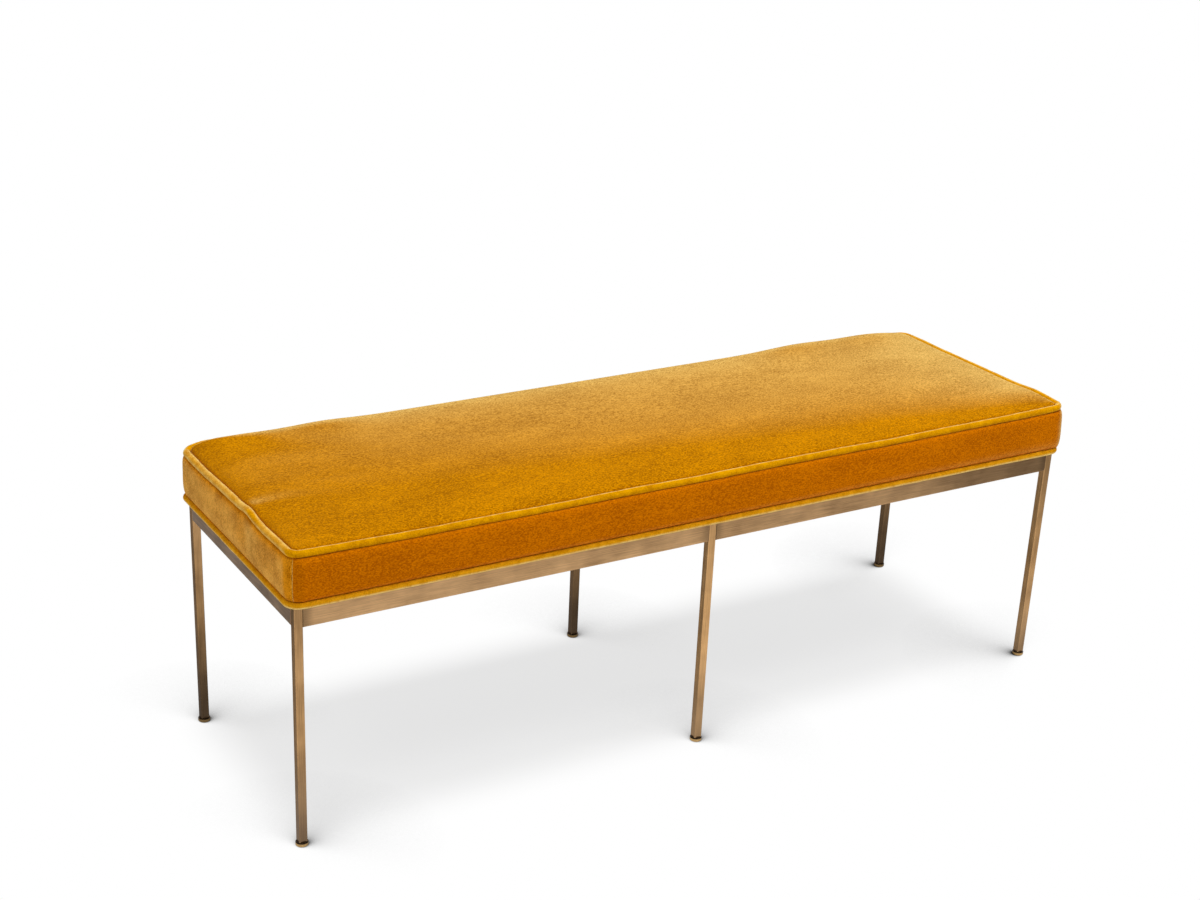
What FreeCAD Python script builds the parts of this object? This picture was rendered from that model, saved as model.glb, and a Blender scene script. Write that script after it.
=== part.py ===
import FreeCAD, Part
import math
import os
import Sketcher

# Upholstered bench on a slim six-legged brass frame.
# Millimetres. The origin is on the floor under the middle of the bench,
# +X runs along the bench to its right end, +Y to its back and +Z up.

Vector = FreeCAD.Vector
Rotation = FreeCAD.Rotation

# Driving sizes: name, value, what it is
FRAME_SIZES = (
    ("frame_length", 1348.0, "brass frame, outside, left to right"),
    ("frame_depth", 408.0, "brass frame, outside, front to back"),
    ("bar_width", 12.7, "legs are this wide and deep, rails this thick"),
    ("rail_height", 31.75, "rails from lower to upper edge"),
    ("tube_wall", 1.6, "wall of the leg and rail tubes"),
    ("tube_corner", 1.2, "rounding of the tubes' long edges"),
    ("under_rail", 349.0, "floor to the rails' lower edge"),
)
GLIDE_SIZES = (
    ("foot_height", 8.0, "floor to the leg's end with the glide screwed home"),
    ("foot_diameter", 19.0, "round foot of a glide"),
    ("neck_step", 1.4, "how far the neck under the leg's end is set in from the foot"),
    ("neck_height", 1.6, "height of that neck"),
    ("rim_round", 1.0, "rounding of the foot's upper rim"),
    ("base_round", 1.8, "rounding of the foot's lower rim"),
    ("stem_diameter", 6.0, "threaded stem of a glide"),
    ("stem_length", 22.0, "stem above the foot"),
    ("stem_chamfer", 0.8, "lead-in at the stem's end"),
    ("running_gap", 0.05, "play between a screw and its thread, to each side"),
    ("bore_spare", 2.0, "bore left above the stem"),
    ("insert_end", 3.0, "closed end of the threaded plug, above its bore"),
    ("pad_rim", 2.5, "foot's rim round the plastic pad"),
    ("pad_thickness", 1.6, "that pad"),
    ("pad_proud", 0.6, "pad standing out under the foot"),
    ("pad_chamfer", 0.3, "lead-in of the pad's lower edge"),
)
FASTENER_SIZES = (
    ("tab_length", 28.0, "mounting tab from the rail inwards"),
    ("tab_width", 24.0, "mounting tab along the rail"),
    ("tab_thickness", 3.0, "mounting tab"),
    ("tab_corner", 5.0, "rounded free corners of a tab"),
    ("tab_hole_reach", 15.0, "hole centre from the rail's inner face"),
    ("tab_hole", 7.0, "hole in a tab, diameter"),
    ("screw_diameter", 6.0, "seat screw shank"),
    ("screw_reach", 7.5, "shank inside the tee nut"),
    ("screw_head", 11.0, "hexagon head across corners"),
    ("screw_head_height", 4.0, "hexagon head"),
    ("washer_diameter", 14.0, "washer under the head"),
    ("washer_thickness", 1.4, "washer under the head"),
    ("washer_gap", 0.3, "play between a washer and its screw, to each side"),
    ("nut_flange", 19.0, "tee nut flange diameter"),
    ("nut_flange_thickness", 1.5, "tee nut flange"),
    ("nut_barrel", 8.4, "tee nut barrel diameter"),
    ("nut_barrel_length", 9.0, "tee nut barrel below its flange"),
    ("fit_gap", 0.15, "play round a nut in the seat board, to each side"),
    ("staple_crown", 10.0, "staple width"),
    ("staple_leg", 10.0, "staple length"),
    ("staple_wire", 0.8, "staple wire"),
    ("staple_pitch", 75.0, "staples are at most this far apart"),
    ("staple_edge", 2.5, "staple line out from the tail's inner edge"),
)
SEAT_SIZES = (
    ("board_thickness", 15.9, "plywood seat board"),
    ("cushion_corner", 14.0, "corner radius of the board"),
    ("fabric", 2.0, "pile fabric with its backing"),
    ("layer_gap", 0.3, "play between soft layers"),
    ("batting", 9.0, "wadding over the foam"),
    ("dust_cover", 0.4, "black cloth under the seat"),
    ("dust_cover_inset", 6.0, "dust cover's edge in from the board's edge"),
    ("top_welt", 11.8, "top welt diameter"),
    ("top_welt_rise", 77.75, "rails' upper edge to the top welt's middle"),
    ("top_welt_overhang", 2.5, "top welt's middle outside the frame's faces"),
    ("bottom_welt", 9.4, "bottom welt diameter"),
    ("welt_tail", 1.5, "bottom welt's flat tail, thickness"),
    ("welt_tail_reach", 5.3, "that tail, in from the rails' inner faces"),
    ("hem_beyond", 2.0, "how far the boxing's hem goes past the tail"),
    ("boxing_bulge", 4.2, "how far the sides swell out between the welts"),
    ("crown", 15.4, "rise of the top above its rolled edge"),
)

# Shapes of the soft parts, as shares chosen by hand.
# Side: share of the boxing's height, share of its bulge.
BOXING_SHARES = ((0.0, 0.0), (0.13, 0.62), (0.45, 1.0), (0.72, 0.88), (0.91, 0.42), (1.0, 0.0))
# Top: share of half the frame's depth going inwards, share of the crown.
CROWN_SHARES = ((0.006, 0.32), (0.03, 0.54), (0.09, 0.72), (0.20, 0.85), (0.38, 0.95), (0.62, 1.0))
# A top section's corner radius grows by this share of its way inwards.
CORNER_GROWTH_SHARE = 0.15
# A cloth edge goes round a welt as an octagon goes round its circle.
OCTAGON_SHARE = math.sqrt(2) - 1
# Cuts run past the solid by this share of a tube's wall.
OVERRUN_SHARE = 2.0
# An edge counts as upright, or as a ring of a given radius, within these shares.
UPRIGHT_SHARE = 0.9
MATCH_SHARE = 0.01

os.makedirs("parts", exist_ok=True)
document = FreeCAD.newDocument("bench")
sheet = document.addObject("Spreadsheet::Sheet", "Sizes")
for row, (alias, value, note) in enumerate(FRAME_SIZES + GLIDE_SIZES + FASTENER_SIZES + SEAT_SIZES, start=1):
    sheet.set("A%d" % row, alias)
    sheet.set("B%d" % row, str(value))
    sheet.setAlias("B%d" % row, alias)
    sheet.set("C%d" % row, note)
document.recompute()

# Places that several pieces share, written with the sheet's names
LEG_LENGTH = "(Sizes.under_rail + Sizes.rail_height - Sizes.foot_height)"
RAIL_MIDDLE = "(Sizes.under_rail + Sizes.rail_height / 2)"
RAIL_TOP = "(Sizes.under_rail + Sizes.rail_height)"
LEG_X = "(Sizes.frame_length - Sizes.bar_width) / 2"
LEG_Y = "(Sizes.frame_depth - Sizes.bar_width) / 2"
HALF_RAIL_LENGTH = "(Sizes.frame_length - 3 * Sizes.bar_width) / 2"
END_RAIL_LENGTH = "(Sizes.frame_depth - 2 * Sizes.bar_width)"
TAIL_BOTTOM = "(%s + Sizes.dust_cover)" % RAIL_TOP
HEM_BOTTOM = "(%s + Sizes.welt_tail)" % TAIL_BOTTOM
BOARD_BOTTOM = "(%s + Sizes.fabric)" % HEM_BOTTOM
BOARD_TOP = "(%s + Sizes.board_thickness)" % BOARD_BOTTOM
SCREW_X = "(Sizes.frame_length - Sizes.bar_width) / 4"
SCREW_Y = "(Sizes.frame_depth / 2 - Sizes.bar_width - Sizes.tab_hole_reach)"
SCREW_END_X = "(Sizes.frame_length / 2 - Sizes.bar_width - Sizes.tab_hole_reach)"
TAIL_REACH = "(Sizes.bar_width + Sizes.welt_tail_reach)"
PAD_DIAMETER = "(Sizes.foot_diameter - 2 * Sizes.pad_rim)"
OVERRUN = "(Sizes.tube_wall * %s)" % OVERRUN_SHARE

# The six screws that hold the seat: name, x, y, and the turn of its tab
SCREW_PLACES = (
    ("front_left", "-" + SCREW_X, "-" + SCREW_Y, 0),
    ("front_right", SCREW_X, "-" + SCREW_Y, 0),
    ("back_left", "-" + SCREW_X, SCREW_Y, 180),
    ("back_right", SCREW_X, SCREW_Y, 180),
    ("end_left", "-" + SCREW_END_X, "0", -90),
    ("end_right", SCREW_END_X, "0", 90),
)
# The six legs: name, x and y
LEG_PLACES = (
    ("front_left", "-" + LEG_X, "-" + LEG_Y),
    ("front_middle", "0", "-" + LEG_Y),
    ("front_right", LEG_X, "-" + LEG_Y),
    ("back_left", "-" + LEG_X, LEG_Y),
    ("back_middle", "0", LEG_Y),
    ("back_right", LEG_X, LEG_Y),
)

nodes = []


def value_of(expression):
    """A length worked out from the sheet."""
    return float(sheet.evalExpression(expression))


def keep(piece):
    """Puts a finished piece on the list of nodes."""
    nodes.append(piece)
    return piece


def place(piece, x, y, z, axis=Vector(0, 0, 1), turn=0):
    """Turns a piece and binds its place to the sheet."""
    piece.Placement = FreeCAD.Placement(Vector(), Rotation(axis, turn))
    piece.setExpression("Placement.Base.x", x)
    piece.setExpression("Placement.Base.y", y)
    piece.setExpression("Placement.Base.z", z)


def new_body(label):
    body = document.addObject("PartDesign::Body", label)
    body.Label = label
    return body


def new_sketch(body, role, lift=None):
    """A sketch on one of the body's own planes, lifted along its normal."""
    sketch = body.newObject("Sketcher::SketchObject", body.Name + "_sketch")
    plane = next(item for item in body.Origin.OriginFeatures if item.Role == role)
    sketch.AttachmentSupport = [(plane, "")]
    sketch.MapMode = "FlatFace"
    if lift:
        sketch.setExpression("AttachmentOffset.Base.z", lift)
    return sketch


def bind_point(sketch, line, end, x, y):
    """Binds one end of a line to sizes measured from the sketch's origin."""
    for kind, expression in (("DistanceX", x), ("DistanceY", y)):
        index = sketch.addConstraint(Sketcher.Constraint(kind, -1, 1, line, end, value_of(expression)))
        sketch.setExpression("Constraints[%d]" % index, expression)


def outline(sketch, points):
    """A closed outline through points given as pairs of expressions."""
    spots = [Vector(value_of(x), value_of(y), 0) for x, y in points]
    first = sketch.GeometryCount
    count = len(spots)
    for index in range(count):
        sketch.addGeometry(Part.LineSegment(spots[index], spots[(index + 1) % count]), False)
    for index, (x, y) in enumerate(points):
        following = first + (index + 1) % count
        sketch.addConstraint(Sketcher.Constraint("Coincident", first + index, 2, following, 1))
        bind_point(sketch, first + index, 1, x, y)


def rectangle(sketch, width, height, x="0", y="0"):
    """A rectangle about a middle given by x and y."""
    left, right = "%s - %s / 2" % (x, width), "%s + %s / 2" % (x, width)
    low, high = "%s - %s / 2" % (y, height), "%s + %s / 2" % (y, height)
    outline(sketch, ((left, low), (right, low), (right, high), (left, high)))


def circle(sketch, diameter, x="0", y="0"):
    """A circle whose middle and size are bound to the sheet."""
    middle = Vector(value_of(x), value_of(y), 0)
    ring = sketch.addGeometry(Part.Circle(middle, Vector(0, 0, 1), value_of(diameter) / 2), False)
    for kind, expression in (("DistanceX", x), ("DistanceY", y)):
        index = sketch.addConstraint(Sketcher.Constraint(kind, -1, 1, ring, 3, value_of(expression)))
        sketch.setExpression("Constraints[%d]" % index, expression)
    index = sketch.addConstraint(Sketcher.Constraint("Diameter", ring, value_of(diameter)))
    sketch.setExpression("Constraints[%d]" % index, diameter)


def pad(body, sketch, length):
    feature = body.newObject("PartDesign::Pad", body.Name + "_pad")
    feature.Profile = sketch
    feature.setExpression("Length", length)
    document.recompute()
    return feature


def pocket(body, sketch, depth, upwards=False):
    """Cuts a pocket and makes sure that it removed something."""
    before = body.Tip.Shape.Volume
    feature = body.newObject("PartDesign::Pocket", body.Name + "_pocket")
    feature.Profile = sketch
    feature.Reversed = upwards
    feature.setExpression("Length", depth)
    document.recompute()
    if not feature.Shape.Volume < before:
        raise RuntimeError("pocket of %s cuts nothing" % body.Label)
    return feature


def edges_where(shape, wanted):
    """Names of the edges that the test picks."""
    return ["Edge%d" % number for number, edge in enumerate(shape.Edges, start=1) if wanted(edge)]


def dress(body, kind, edges, expression):
    """Fillets or chamfers the named edges of the body's tip."""
    base = body.Tip
    feature = body.newObject("PartDesign::" + kind, "%s_%s" % (body.Name, kind.lower()))
    feature.Base = (base, edges)
    feature.setExpression("Radius" if kind == "Fillet" else "Size", expression)
    document.recompute()
    return feature


def upright(edge):
    """True for a straight edge along the local Z axis."""
    start, end = edge.Vertexes[0].Point, edge.Vertexes[-1].Point
    return edge.Curve.TypeId == "Part::GeomLine" and abs(end.z - start.z) > UPRIGHT_SHARE * edge.Length


def ring_at(edge, radius, height):
    """True for a full circle of this radius at this height."""
    if edge.Curve.TypeId != "Part::GeomCircle":
        return False
    off = abs(edge.Curve.Radius - radius) + abs(edge.Curve.Center.z - height)
    return off < MATCH_SHARE * radius


# Frame

def tube(label, width, height, length):
    """A straight rectangular tube standing on its local XY plane."""
    body = new_body(label)
    section = new_sketch(body, "XY_Plane")
    rectangle(section, width, height)
    rectangle(section, "(%s - 2 * Sizes.tube_wall)" % width, "(%s - 2 * Sizes.tube_wall)" % height)
    feature = pad(body, section, length)
    reach = (value_of(width) + value_of(height)) / 2 - value_of("Sizes.tube_wall")

    def outer(edge):
        middle = edge.CenterOfMass
        return upright(edge) and abs(middle.x) + abs(middle.y) > reach

    dress(body, "Fillet", edges_where(feature.Shape, outer), "Sizes.tube_corner")
    return body


def leg(name, x, y):
    piece = tube("leg_" + name, "Sizes.bar_width", "Sizes.bar_width", LEG_LENGTH)
    place(piece, x, y, "Sizes.foot_height")
    return keep(piece)


def long_rail(name, x, y):
    """Half of a front or back rail, from a corner leg to a middle leg."""
    piece = tube("rail_" + name, "Sizes.rail_height", "Sizes.bar_width", HALF_RAIL_LENGTH)
    place(piece, x, y, RAIL_MIDDLE, Vector(0, 1, 0), 90)
    return keep(piece)


def end_rail(name, x):
    """A rail that runs from front to back between two legs."""
    piece = tube(name, "Sizes.bar_width", "Sizes.rail_height", END_RAIL_LENGTH)
    place(piece, x, "-%s / 2" % END_RAIL_LENGTH, RAIL_MIDDLE, Vector(1, 0, 0), -90)
    return keep(piece)


def insert(name, x, y):
    """Square steel plug with a thread, welded into a leg's end."""
    body = new_body("insert_" + name)
    section = new_sketch(body, "XY_Plane")
    inside = "(Sizes.bar_width - 2 * Sizes.tube_wall)"
    rectangle(section, inside, inside)
    pad(body, section, "(Sizes.stem_length + Sizes.bore_spare + Sizes.insert_end)")
    bore = new_sketch(body, "XY_Plane")
    circle(bore, "(Sizes.stem_diameter + 2 * Sizes.running_gap)")
    pocket(body, bore, "(Sizes.stem_length + Sizes.bore_spare)", upwards=True)
    place(body, x, y, "Sizes.foot_height")
    return keep(body)


def glide(name, x, y):
    """Levelling glide: round foot, step and threaded stem, turned in one piece."""
    body = new_body("glide_" + name)
    profile = new_sketch(body, "XZ_Plane")
    foot, neck = "(Sizes.foot_diameter / 2)", "(Sizes.foot_diameter / 2 - Sizes.neck_step)"
    stem, seat = "(Sizes.stem_diameter / 2)", "(%s / 2)" % PAD_DIAMETER
    rim_top = "(Sizes.foot_height - Sizes.neck_height)"
    stem_top = "(Sizes.foot_height + Sizes.stem_length)"
    outline(profile, (
        ("0", "Sizes.pad_thickness"),
        (seat, "Sizes.pad_thickness"),
        (seat, "Sizes.pad_proud"),
        (foot, "Sizes.pad_proud"),
        (foot, rim_top),
        (neck, rim_top),
        (neck, "Sizes.foot_height"),
        (stem, "Sizes.foot_height"),
        (stem, stem_top),
        ("0", stem_top),
    ))
    turned = body.newObject("PartDesign::Revolution", body.Name + "_turned")
    turned.Profile = profile
    turned.ReferenceAxis = (profile, ["V_Axis"])
    document.recompute()
    for kind, radius, level, size in (
        ("Fillet", foot, rim_top, "Sizes.rim_round"),
        ("Fillet", foot, "Sizes.pad_proud", "Sizes.base_round"),
        ("Chamfer", stem, stem_top, "Sizes.stem_chamfer"),
    ):
        rim = edges_where(body.Tip.Shape, lambda edge: ring_at(edge, value_of(radius), value_of(level)))
        dress(body, kind, rim, size)
    place(body, x, y, "0")
    return keep(body)


def glide_pad(name, x, y):
    """Plastic pad under a glide, which stands on the floor."""
    body = new_body("glide_pad_" + name)
    disc = new_sketch(body, "XY_Plane")
    circle(disc, PAD_DIAMETER)
    feature = pad(body, disc, "Sizes.pad_thickness")
    low = edges_where(feature.Shape, lambda edge: ring_at(edge, value_of(PAD_DIAMETER) / 2, 0))
    dress(body, "Chamfer", low, "Sizes.pad_chamfer")
    place(body, x, y, "0")
    return keep(body)


for name, x, y in LEG_PLACES:
    leg(name, x, y)
    insert(name, x, y)
    glide(name, x, y)
    glide_pad(name, x, y)

RAIL_STARTS = (("left", "-%s + Sizes.bar_width / 2" % LEG_X), ("right", "Sizes.bar_width / 2"))
for side, y in (("front", "-" + LEG_Y), ("back", LEG_Y)):
    for half, x in RAIL_STARTS:
        long_rail(side + "_" + half, x, y)
end_rail("rail_end_left", "-" + LEG_X)
end_rail("rail_end_right", LEG_X)
end_rail("cross_rail", "0")


# Mounting tabs and fasteners

def tab(name, x, y, turn):
    """Steel tab welded to a rail's inner face, level with the rail's top.

    Its hole is at the local origin and its root is on the rail."""
    body = new_body("tab_" + name)
    plate = new_sketch(body, "XY_Plane")
    rectangle(plate, "Sizes.tab_width", "Sizes.tab_length", y="(Sizes.tab_length / 2 - Sizes.tab_hole_reach)")
    feature = pad(body, plate, "Sizes.tab_thickness")
    free_corners = edges_where(feature.Shape, lambda edge: upright(edge) and edge.CenterOfMass.y > 0)
    dress(body, "Fillet", free_corners, "Sizes.tab_corner")
    hole = new_sketch(body, "XY_Plane")
    circle(hole, "Sizes.tab_hole")
    pocket(body, hole, "(Sizes.tab_thickness + %s)" % OVERRUN, upwards=True)
    place(body, x, y, "%s - Sizes.tab_thickness" % RAIL_TOP, turn=turn)
    return keep(body)


def cylinder(name, diameter, height, x, y, z):
    part = document.addObject("Part::Cylinder", name)
    part.setExpression("Radius", "%s / 2" % diameter)
    part.setExpression("Height", height)
    place(part, x, y, z)
    return part


def boolean(kind, name, *parts):
    """Joins the parts, or cuts the second from the first."""
    result = document.addObject("Part::" + kind, name)
    if kind == "Cut":
        result.Base, result.Tool = parts
    else:
        result.Shapes = list(parts)
    return result


def group(label, members):
    """One node of identical fasteners, each its own solid."""
    result = document.addObject("Part::Compound", label)
    result.Label = label
    result.Links = members
    return keep(result)


HEAD_BOTTOM = "(%s - Sizes.tab_thickness - Sizes.washer_thickness - Sizes.screw_head_height)" % RAIL_TOP
NUT_BOTTOM = "(%s - Sizes.nut_flange_thickness - Sizes.nut_barrel_length)" % BOARD_TOP
SCREW_LENGTH = "(%s + Sizes.screw_reach - %s - Sizes.screw_head_height)" % (NUT_BOTTOM, HEAD_BOTTOM)


def seat_screw(name, x, y):
    """Hexagon screw, pointing up through the tab into the tee nut."""
    head = document.addObject("Part::Prism", "screw_head_" + name)
    head.Polygon = 6
    head.setExpression("Circumradius", "Sizes.screw_head / 2")
    head.setExpression("Height", "Sizes.screw_head_height")
    place(head, x, y, HEAD_BOTTOM)
    shank_start = "(%s + Sizes.screw_head_height / 2)" % HEAD_BOTTOM
    shank_length = "(%s + Sizes.screw_head_height / 2)" % SCREW_LENGTH
    shank = cylinder("screw_shank_" + name, "Sizes.screw_diameter", shank_length, x, y, shank_start)
    return boolean("MultiFuse", "screw_" + name, head, shank)


def washer(name, x, y):
    bottom = "(%s + Sizes.screw_head_height)" % HEAD_BOTTOM
    disc = cylinder("washer_disc_" + name, "Sizes.washer_diameter", "Sizes.washer_thickness", x, y, bottom)
    clearance = "(Sizes.screw_diameter + 2 * Sizes.washer_gap)"
    hole = cylinder("washer_hole_" + name, clearance, "Sizes.washer_thickness", x, y, bottom)
    return boolean("Cut", "washer_" + name, disc, hole)


def tee_nut(name, x, y):
    """Flange let into the board's top, with a threaded barrel below it."""
    flange_bottom = "(%s - Sizes.nut_flange_thickness)" % BOARD_TOP
    flange = cylinder("nut_flange_" + name, "Sizes.nut_flange", "Sizes.nut_flange_thickness", x, y, flange_bottom)
    height = "(Sizes.nut_barrel_length + Sizes.nut_flange_thickness / 2)"
    barrel = cylinder("nut_barrel_" + name, "Sizes.nut_barrel", height, x, y, NUT_BOTTOM)
    blank = boolean("MultiFuse", "nut_blank_" + name, flange, barrel)
    bore_height = "(Sizes.nut_barrel_length + Sizes.nut_flange_thickness)"
    thread = "(Sizes.screw_diameter + 2 * Sizes.running_gap)"
    bore = cylinder("nut_bore_" + name, thread, bore_height, x, y, NUT_BOTTOM)
    return boolean("Cut", "tee_nut_" + name, blank, bore)


for name, x, y, turn in SCREW_PLACES:
    tab(name, x, y, turn)
group("seat_screws", [seat_screw(name, x, y) for name, x, y, turn in SCREW_PLACES])
group("washers", [washer(name, x, y) for name, x, y, turn in SCREW_PLACES])
group("tee_nuts", [tee_nut(name, x, y) for name, x, y, turn in SCREW_PLACES])


# Flat parts of the seat

def seat_board():
    """Plywood board, flush with the frame, with the tee nuts let into it."""
    body = new_body("seat_board")
    plate = new_sketch(body, "XY_Plane")
    rectangle(plate, "Sizes.frame_length", "Sizes.frame_depth")
    feature = pad(body, plate, "Sizes.board_thickness")
    dress(body, "Fillet", edges_where(feature.Shape, upright), "Sizes.cushion_corner")
    holes = new_sketch(body, "XY_Plane")
    for name, x, y, turn in SCREW_PLACES:
        circle(holes, "(Sizes.nut_barrel + 2 * Sizes.fit_gap)", x, y)
    pocket(body, holes, "(Sizes.board_thickness + %s)" % OVERRUN, upwards=True)
    sinks = new_sketch(body, "XY_Plane", lift="Sizes.board_thickness")
    for name, x, y, turn in SCREW_PLACES:
        circle(sinks, "(Sizes.nut_flange + 2 * Sizes.fit_gap)", x, y)
    pocket(body, sinks, "Sizes.nut_flange_thickness")
    place(body, "0", "0", BOARD_BOTTOM)
    return keep(body)


def dust_cover():
    """Thin black cloth that closes the seat from below."""
    body = new_body("dust_cover")
    cloth = new_sketch(body, "XY_Plane")
    rectangle(
        cloth,
        "(Sizes.frame_length - 2 * Sizes.dust_cover_inset)",
        "(Sizes.frame_depth - 2 * Sizes.dust_cover_inset)",
    )
    feature = pad(body, cloth, "Sizes.dust_cover")
    corner = "(Sizes.cushion_corner - Sizes.dust_cover_inset)"
    dress(body, "Fillet", edges_where(feature.Shape, upright), corner)
    holes = new_sketch(body, "XY_Plane")
    for name, x, y, turn in SCREW_PLACES:
        circle(holes, "Sizes.tab_hole", x, y)
    pocket(body, holes, "(Sizes.dust_cover + %s)" % OVERRUN, upwards=True)
    place(body, "0", "0", RAIL_TOP)
    return keep(body)


seat_board()
dust_cover()


# Soft parts of the seat. Each is a stack of rounded rectangles, given as
# (overhang outside the frame's faces, height above the floor).

half_length = value_of("Sizes.frame_length / 2")
half_depth = value_of("Sizes.frame_depth / 2")
fabric = value_of("Sizes.fabric")
layer_gap = value_of("Sizes.layer_gap")
batting = value_of("Sizes.batting")
overrun = value_of(OVERRUN)
board_top = value_of(BOARD_TOP)
board_bottom = value_of(BOARD_BOTTOM)
hem_bottom = value_of(HEM_BOTTOM)
tail_bottom = value_of(TAIL_BOTTOM)

top_radius = value_of("Sizes.top_welt / 2")
top_out = value_of("Sizes.top_welt_overhang")
top_height = value_of(RAIL_TOP + " + Sizes.top_welt_rise")
top_clear = top_radius + layer_gap
low_radius = value_of("Sizes.bottom_welt / 2")
low_clear = low_radius + layer_gap
low_out = fabric + low_clear
low_height = value_of(RAIL_TOP) + low_radius


def corner_radius(overhang):
    """Corner radius of a section that far outside the frame's faces."""
    growth = overhang if overhang > 0 else -CORNER_GROWTH_SHARE * overhang
    return value_of("Sizes.cushion_corner") + growth


def rounded_rectangle(overhang, height):
    """A wire of four lines and four quarter turns."""
    radius = corner_radius(overhang)
    x_middle = half_length + overhang - radius
    y_middle = half_depth + overhang - radius
    quarter = math.pi / 2
    edges = []
    for number, (side_x, side_y) in enumerate(((1, -1), (1, 1), (-1, 1), (-1, -1))):
        middle = Vector(side_x * x_middle, side_y * y_middle, height)
        start = (number - 1) * quarter
        spots = [
            middle + Vector(math.cos(angle), math.sin(angle), 0) * radius
            for angle in (start, start + quarter / 2, start + quarter)
        ]
        edges.append(Part.Arc(*spots).toShape())
    sides = [
        Part.makeLine(edges[index].Vertexes[-1].Point, edges[(index + 1) % len(edges)].Vertexes[0].Point)
        for index in range(len(edges))
    ]
    return Part.Wire([edge for pair in zip(edges, sides) for edge in pair])


def stack(sections):
    """A closed solid ruled through rounded rectangles, lowest first."""
    return Part.makeLoft([rounded_rectangle(*section) for section in sections], True, True)


def soft_node(label, shape):
    piece = document.addObject("Part::Feature", label)
    piece.Label = label
    piece.Shape = shape
    piece.Placement = FreeCAD.Placement()
    return keep(piece)


def boxing_sections(inwards):
    """The boxing's side from above the bottom welt to below the top welt."""
    low = (low_out - OCTAGON_SHARE * low_clear, low_height + low_clear)
    high = (top_out + OCTAGON_SHARE * top_clear, top_height - top_clear)
    bulge = value_of("Sizes.boxing_bulge")
    sections = []
    for rise, swell in BOXING_SHARES:
        overhang = low[0] + (high[0] - low[0]) * rise + bulge * swell
        sections.append((overhang - inwards, low[1] + (high[1] - low[1]) * rise))
    return sections


def crown_sections(inwards):
    """The rolled edge and the crown of the top, drawn in and down."""
    base = (top_out - top_clear, top_height + OCTAGON_SHARE * top_clear)
    crown = value_of("Sizes.crown")
    sections = [(base[0] - inwards, base[1] - inwards)]
    for way, rise in CROWN_SHARES:
        sections.append((base[0] - inwards - way * half_depth, base[1] - inwards + rise * crown))
    return sections


def boxing_ring():
    """Side fabric all round, with its hem turned under the board."""
    side_bottom = low_height + OCTAGON_SHARE * low_clear
    outside = [(fabric, hem_bottom), (fabric, side_bottom)] + boxing_sections(0)
    inner = boxing_sections(fabric)
    below = (0, hem_bottom - overrun)
    beyond = (inner[-1][0], inner[-1][1] + overrun)
    side = stack(outside).cut(stack([below, (0, side_bottom)] + inner + [beyond]))
    hem_inner = -value_of("%s + Sizes.hem_beyond" % TAIL_REACH)
    hem = stack([(fabric, hem_bottom), (fabric, board_bottom)])
    hem = hem.cut(stack([(hem_inner, hem_bottom - overrun), (hem_inner, board_bottom + overrun)]))
    return side.fuse(hem).removeSplitter()


def boxing_quarter(ring, label, corners):
    """One side of the boxing, cut at the corner seams."""
    outline_points = [Vector(x, y, hem_bottom - overrun) for x, y in corners]
    face = Part.Face(Part.makePolygon(outline_points + outline_points[:1]))
    wedge = face.extrude(Vector(0, 0, top_height - hem_bottom + overrun))
    return soft_node(label, ring.common(wedge))


def boxing():
    ring = boxing_ring()
    out_x, out_y = half_length + half_depth, half_depth + half_depth
    keel = half_length - half_depth
    boxing_quarter(ring, "boxing_front", ((-out_x, -out_y), (out_x, -out_y), (keel, 0), (-keel, 0)))
    boxing_quarter(ring, "boxing_back", ((out_x, out_y), (-out_x, out_y), (-keel, 0), (keel, 0)))
    boxing_quarter(ring, "boxing_left", ((-out_x, out_y), (-out_x, -out_y), (-keel, 0)))
    boxing_quarter(ring, "boxing_right", ((out_x, -out_y), (out_x, out_y), (keel, 0)))


def top_panel():
    """Top fabric, crowned, with its edge beside the top welt."""
    outside = [(top_out - top_clear, top_height)] + crown_sections(0)
    inner_edge = top_out - top_clear - fabric
    inside = [(inner_edge, top_height - overrun)] + crown_sections(fabric)
    return soft_node("top_panel", stack(outside).cut(stack(inside)))


def foam_sections(grown):
    """Foam block, as large as the board and crowned like the top."""
    depth = fabric + batting + 2 * layer_gap
    shoulder = top_height - top_clear - batting
    return [(grown, shoulder + grown)] + crown_sections(depth - grown)


def foam_core():
    return soft_node("foam_core", stack([(0, board_top)] + foam_sections(0)))


def batting_wrap():
    """Wadding over the foam, drawn down over the board's edge."""
    side = boxing_sections(fabric + layer_gap)
    last_out, last_height = side.pop()
    side.append((last_out, last_height - fabric))
    under_welt = (top_out - OCTAGON_SHARE * top_clear, last_height)
    inwards = fabric + layer_gap
    beside_out = top_out - top_clear - inwards
    beside = (beside_out, last_height + under_welt[0] - beside_out)
    outside = stack(side + [under_welt, beside] + crown_sections(inwards))
    inside = stack([(layer_gap, side[0][1] - overrun)] + foam_sections(layer_gap))
    return soft_node("batting_wrap", outside.cut(inside))


def rod_along(overhang, height, radius):
    """A round rod that runs all round the seat."""
    path = rounded_rectangle(overhang, height)
    start = path.Edges[0].Vertexes[0].Point
    section = Part.Wire(Part.makeCircle(radius, start, Vector(1, 0, 0)))
    return path.makePipeShell([section], True, False)


def top_welt():
    casing = rod_along(top_out, top_height, top_radius)
    bore = rod_along(top_out, top_height, top_radius - fabric)
    soft_node("top_welt", casing.cut(bore))
    soft_node("top_welt_cord", rod_along(top_out, top_height, top_radius - fabric - layer_gap))


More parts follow.
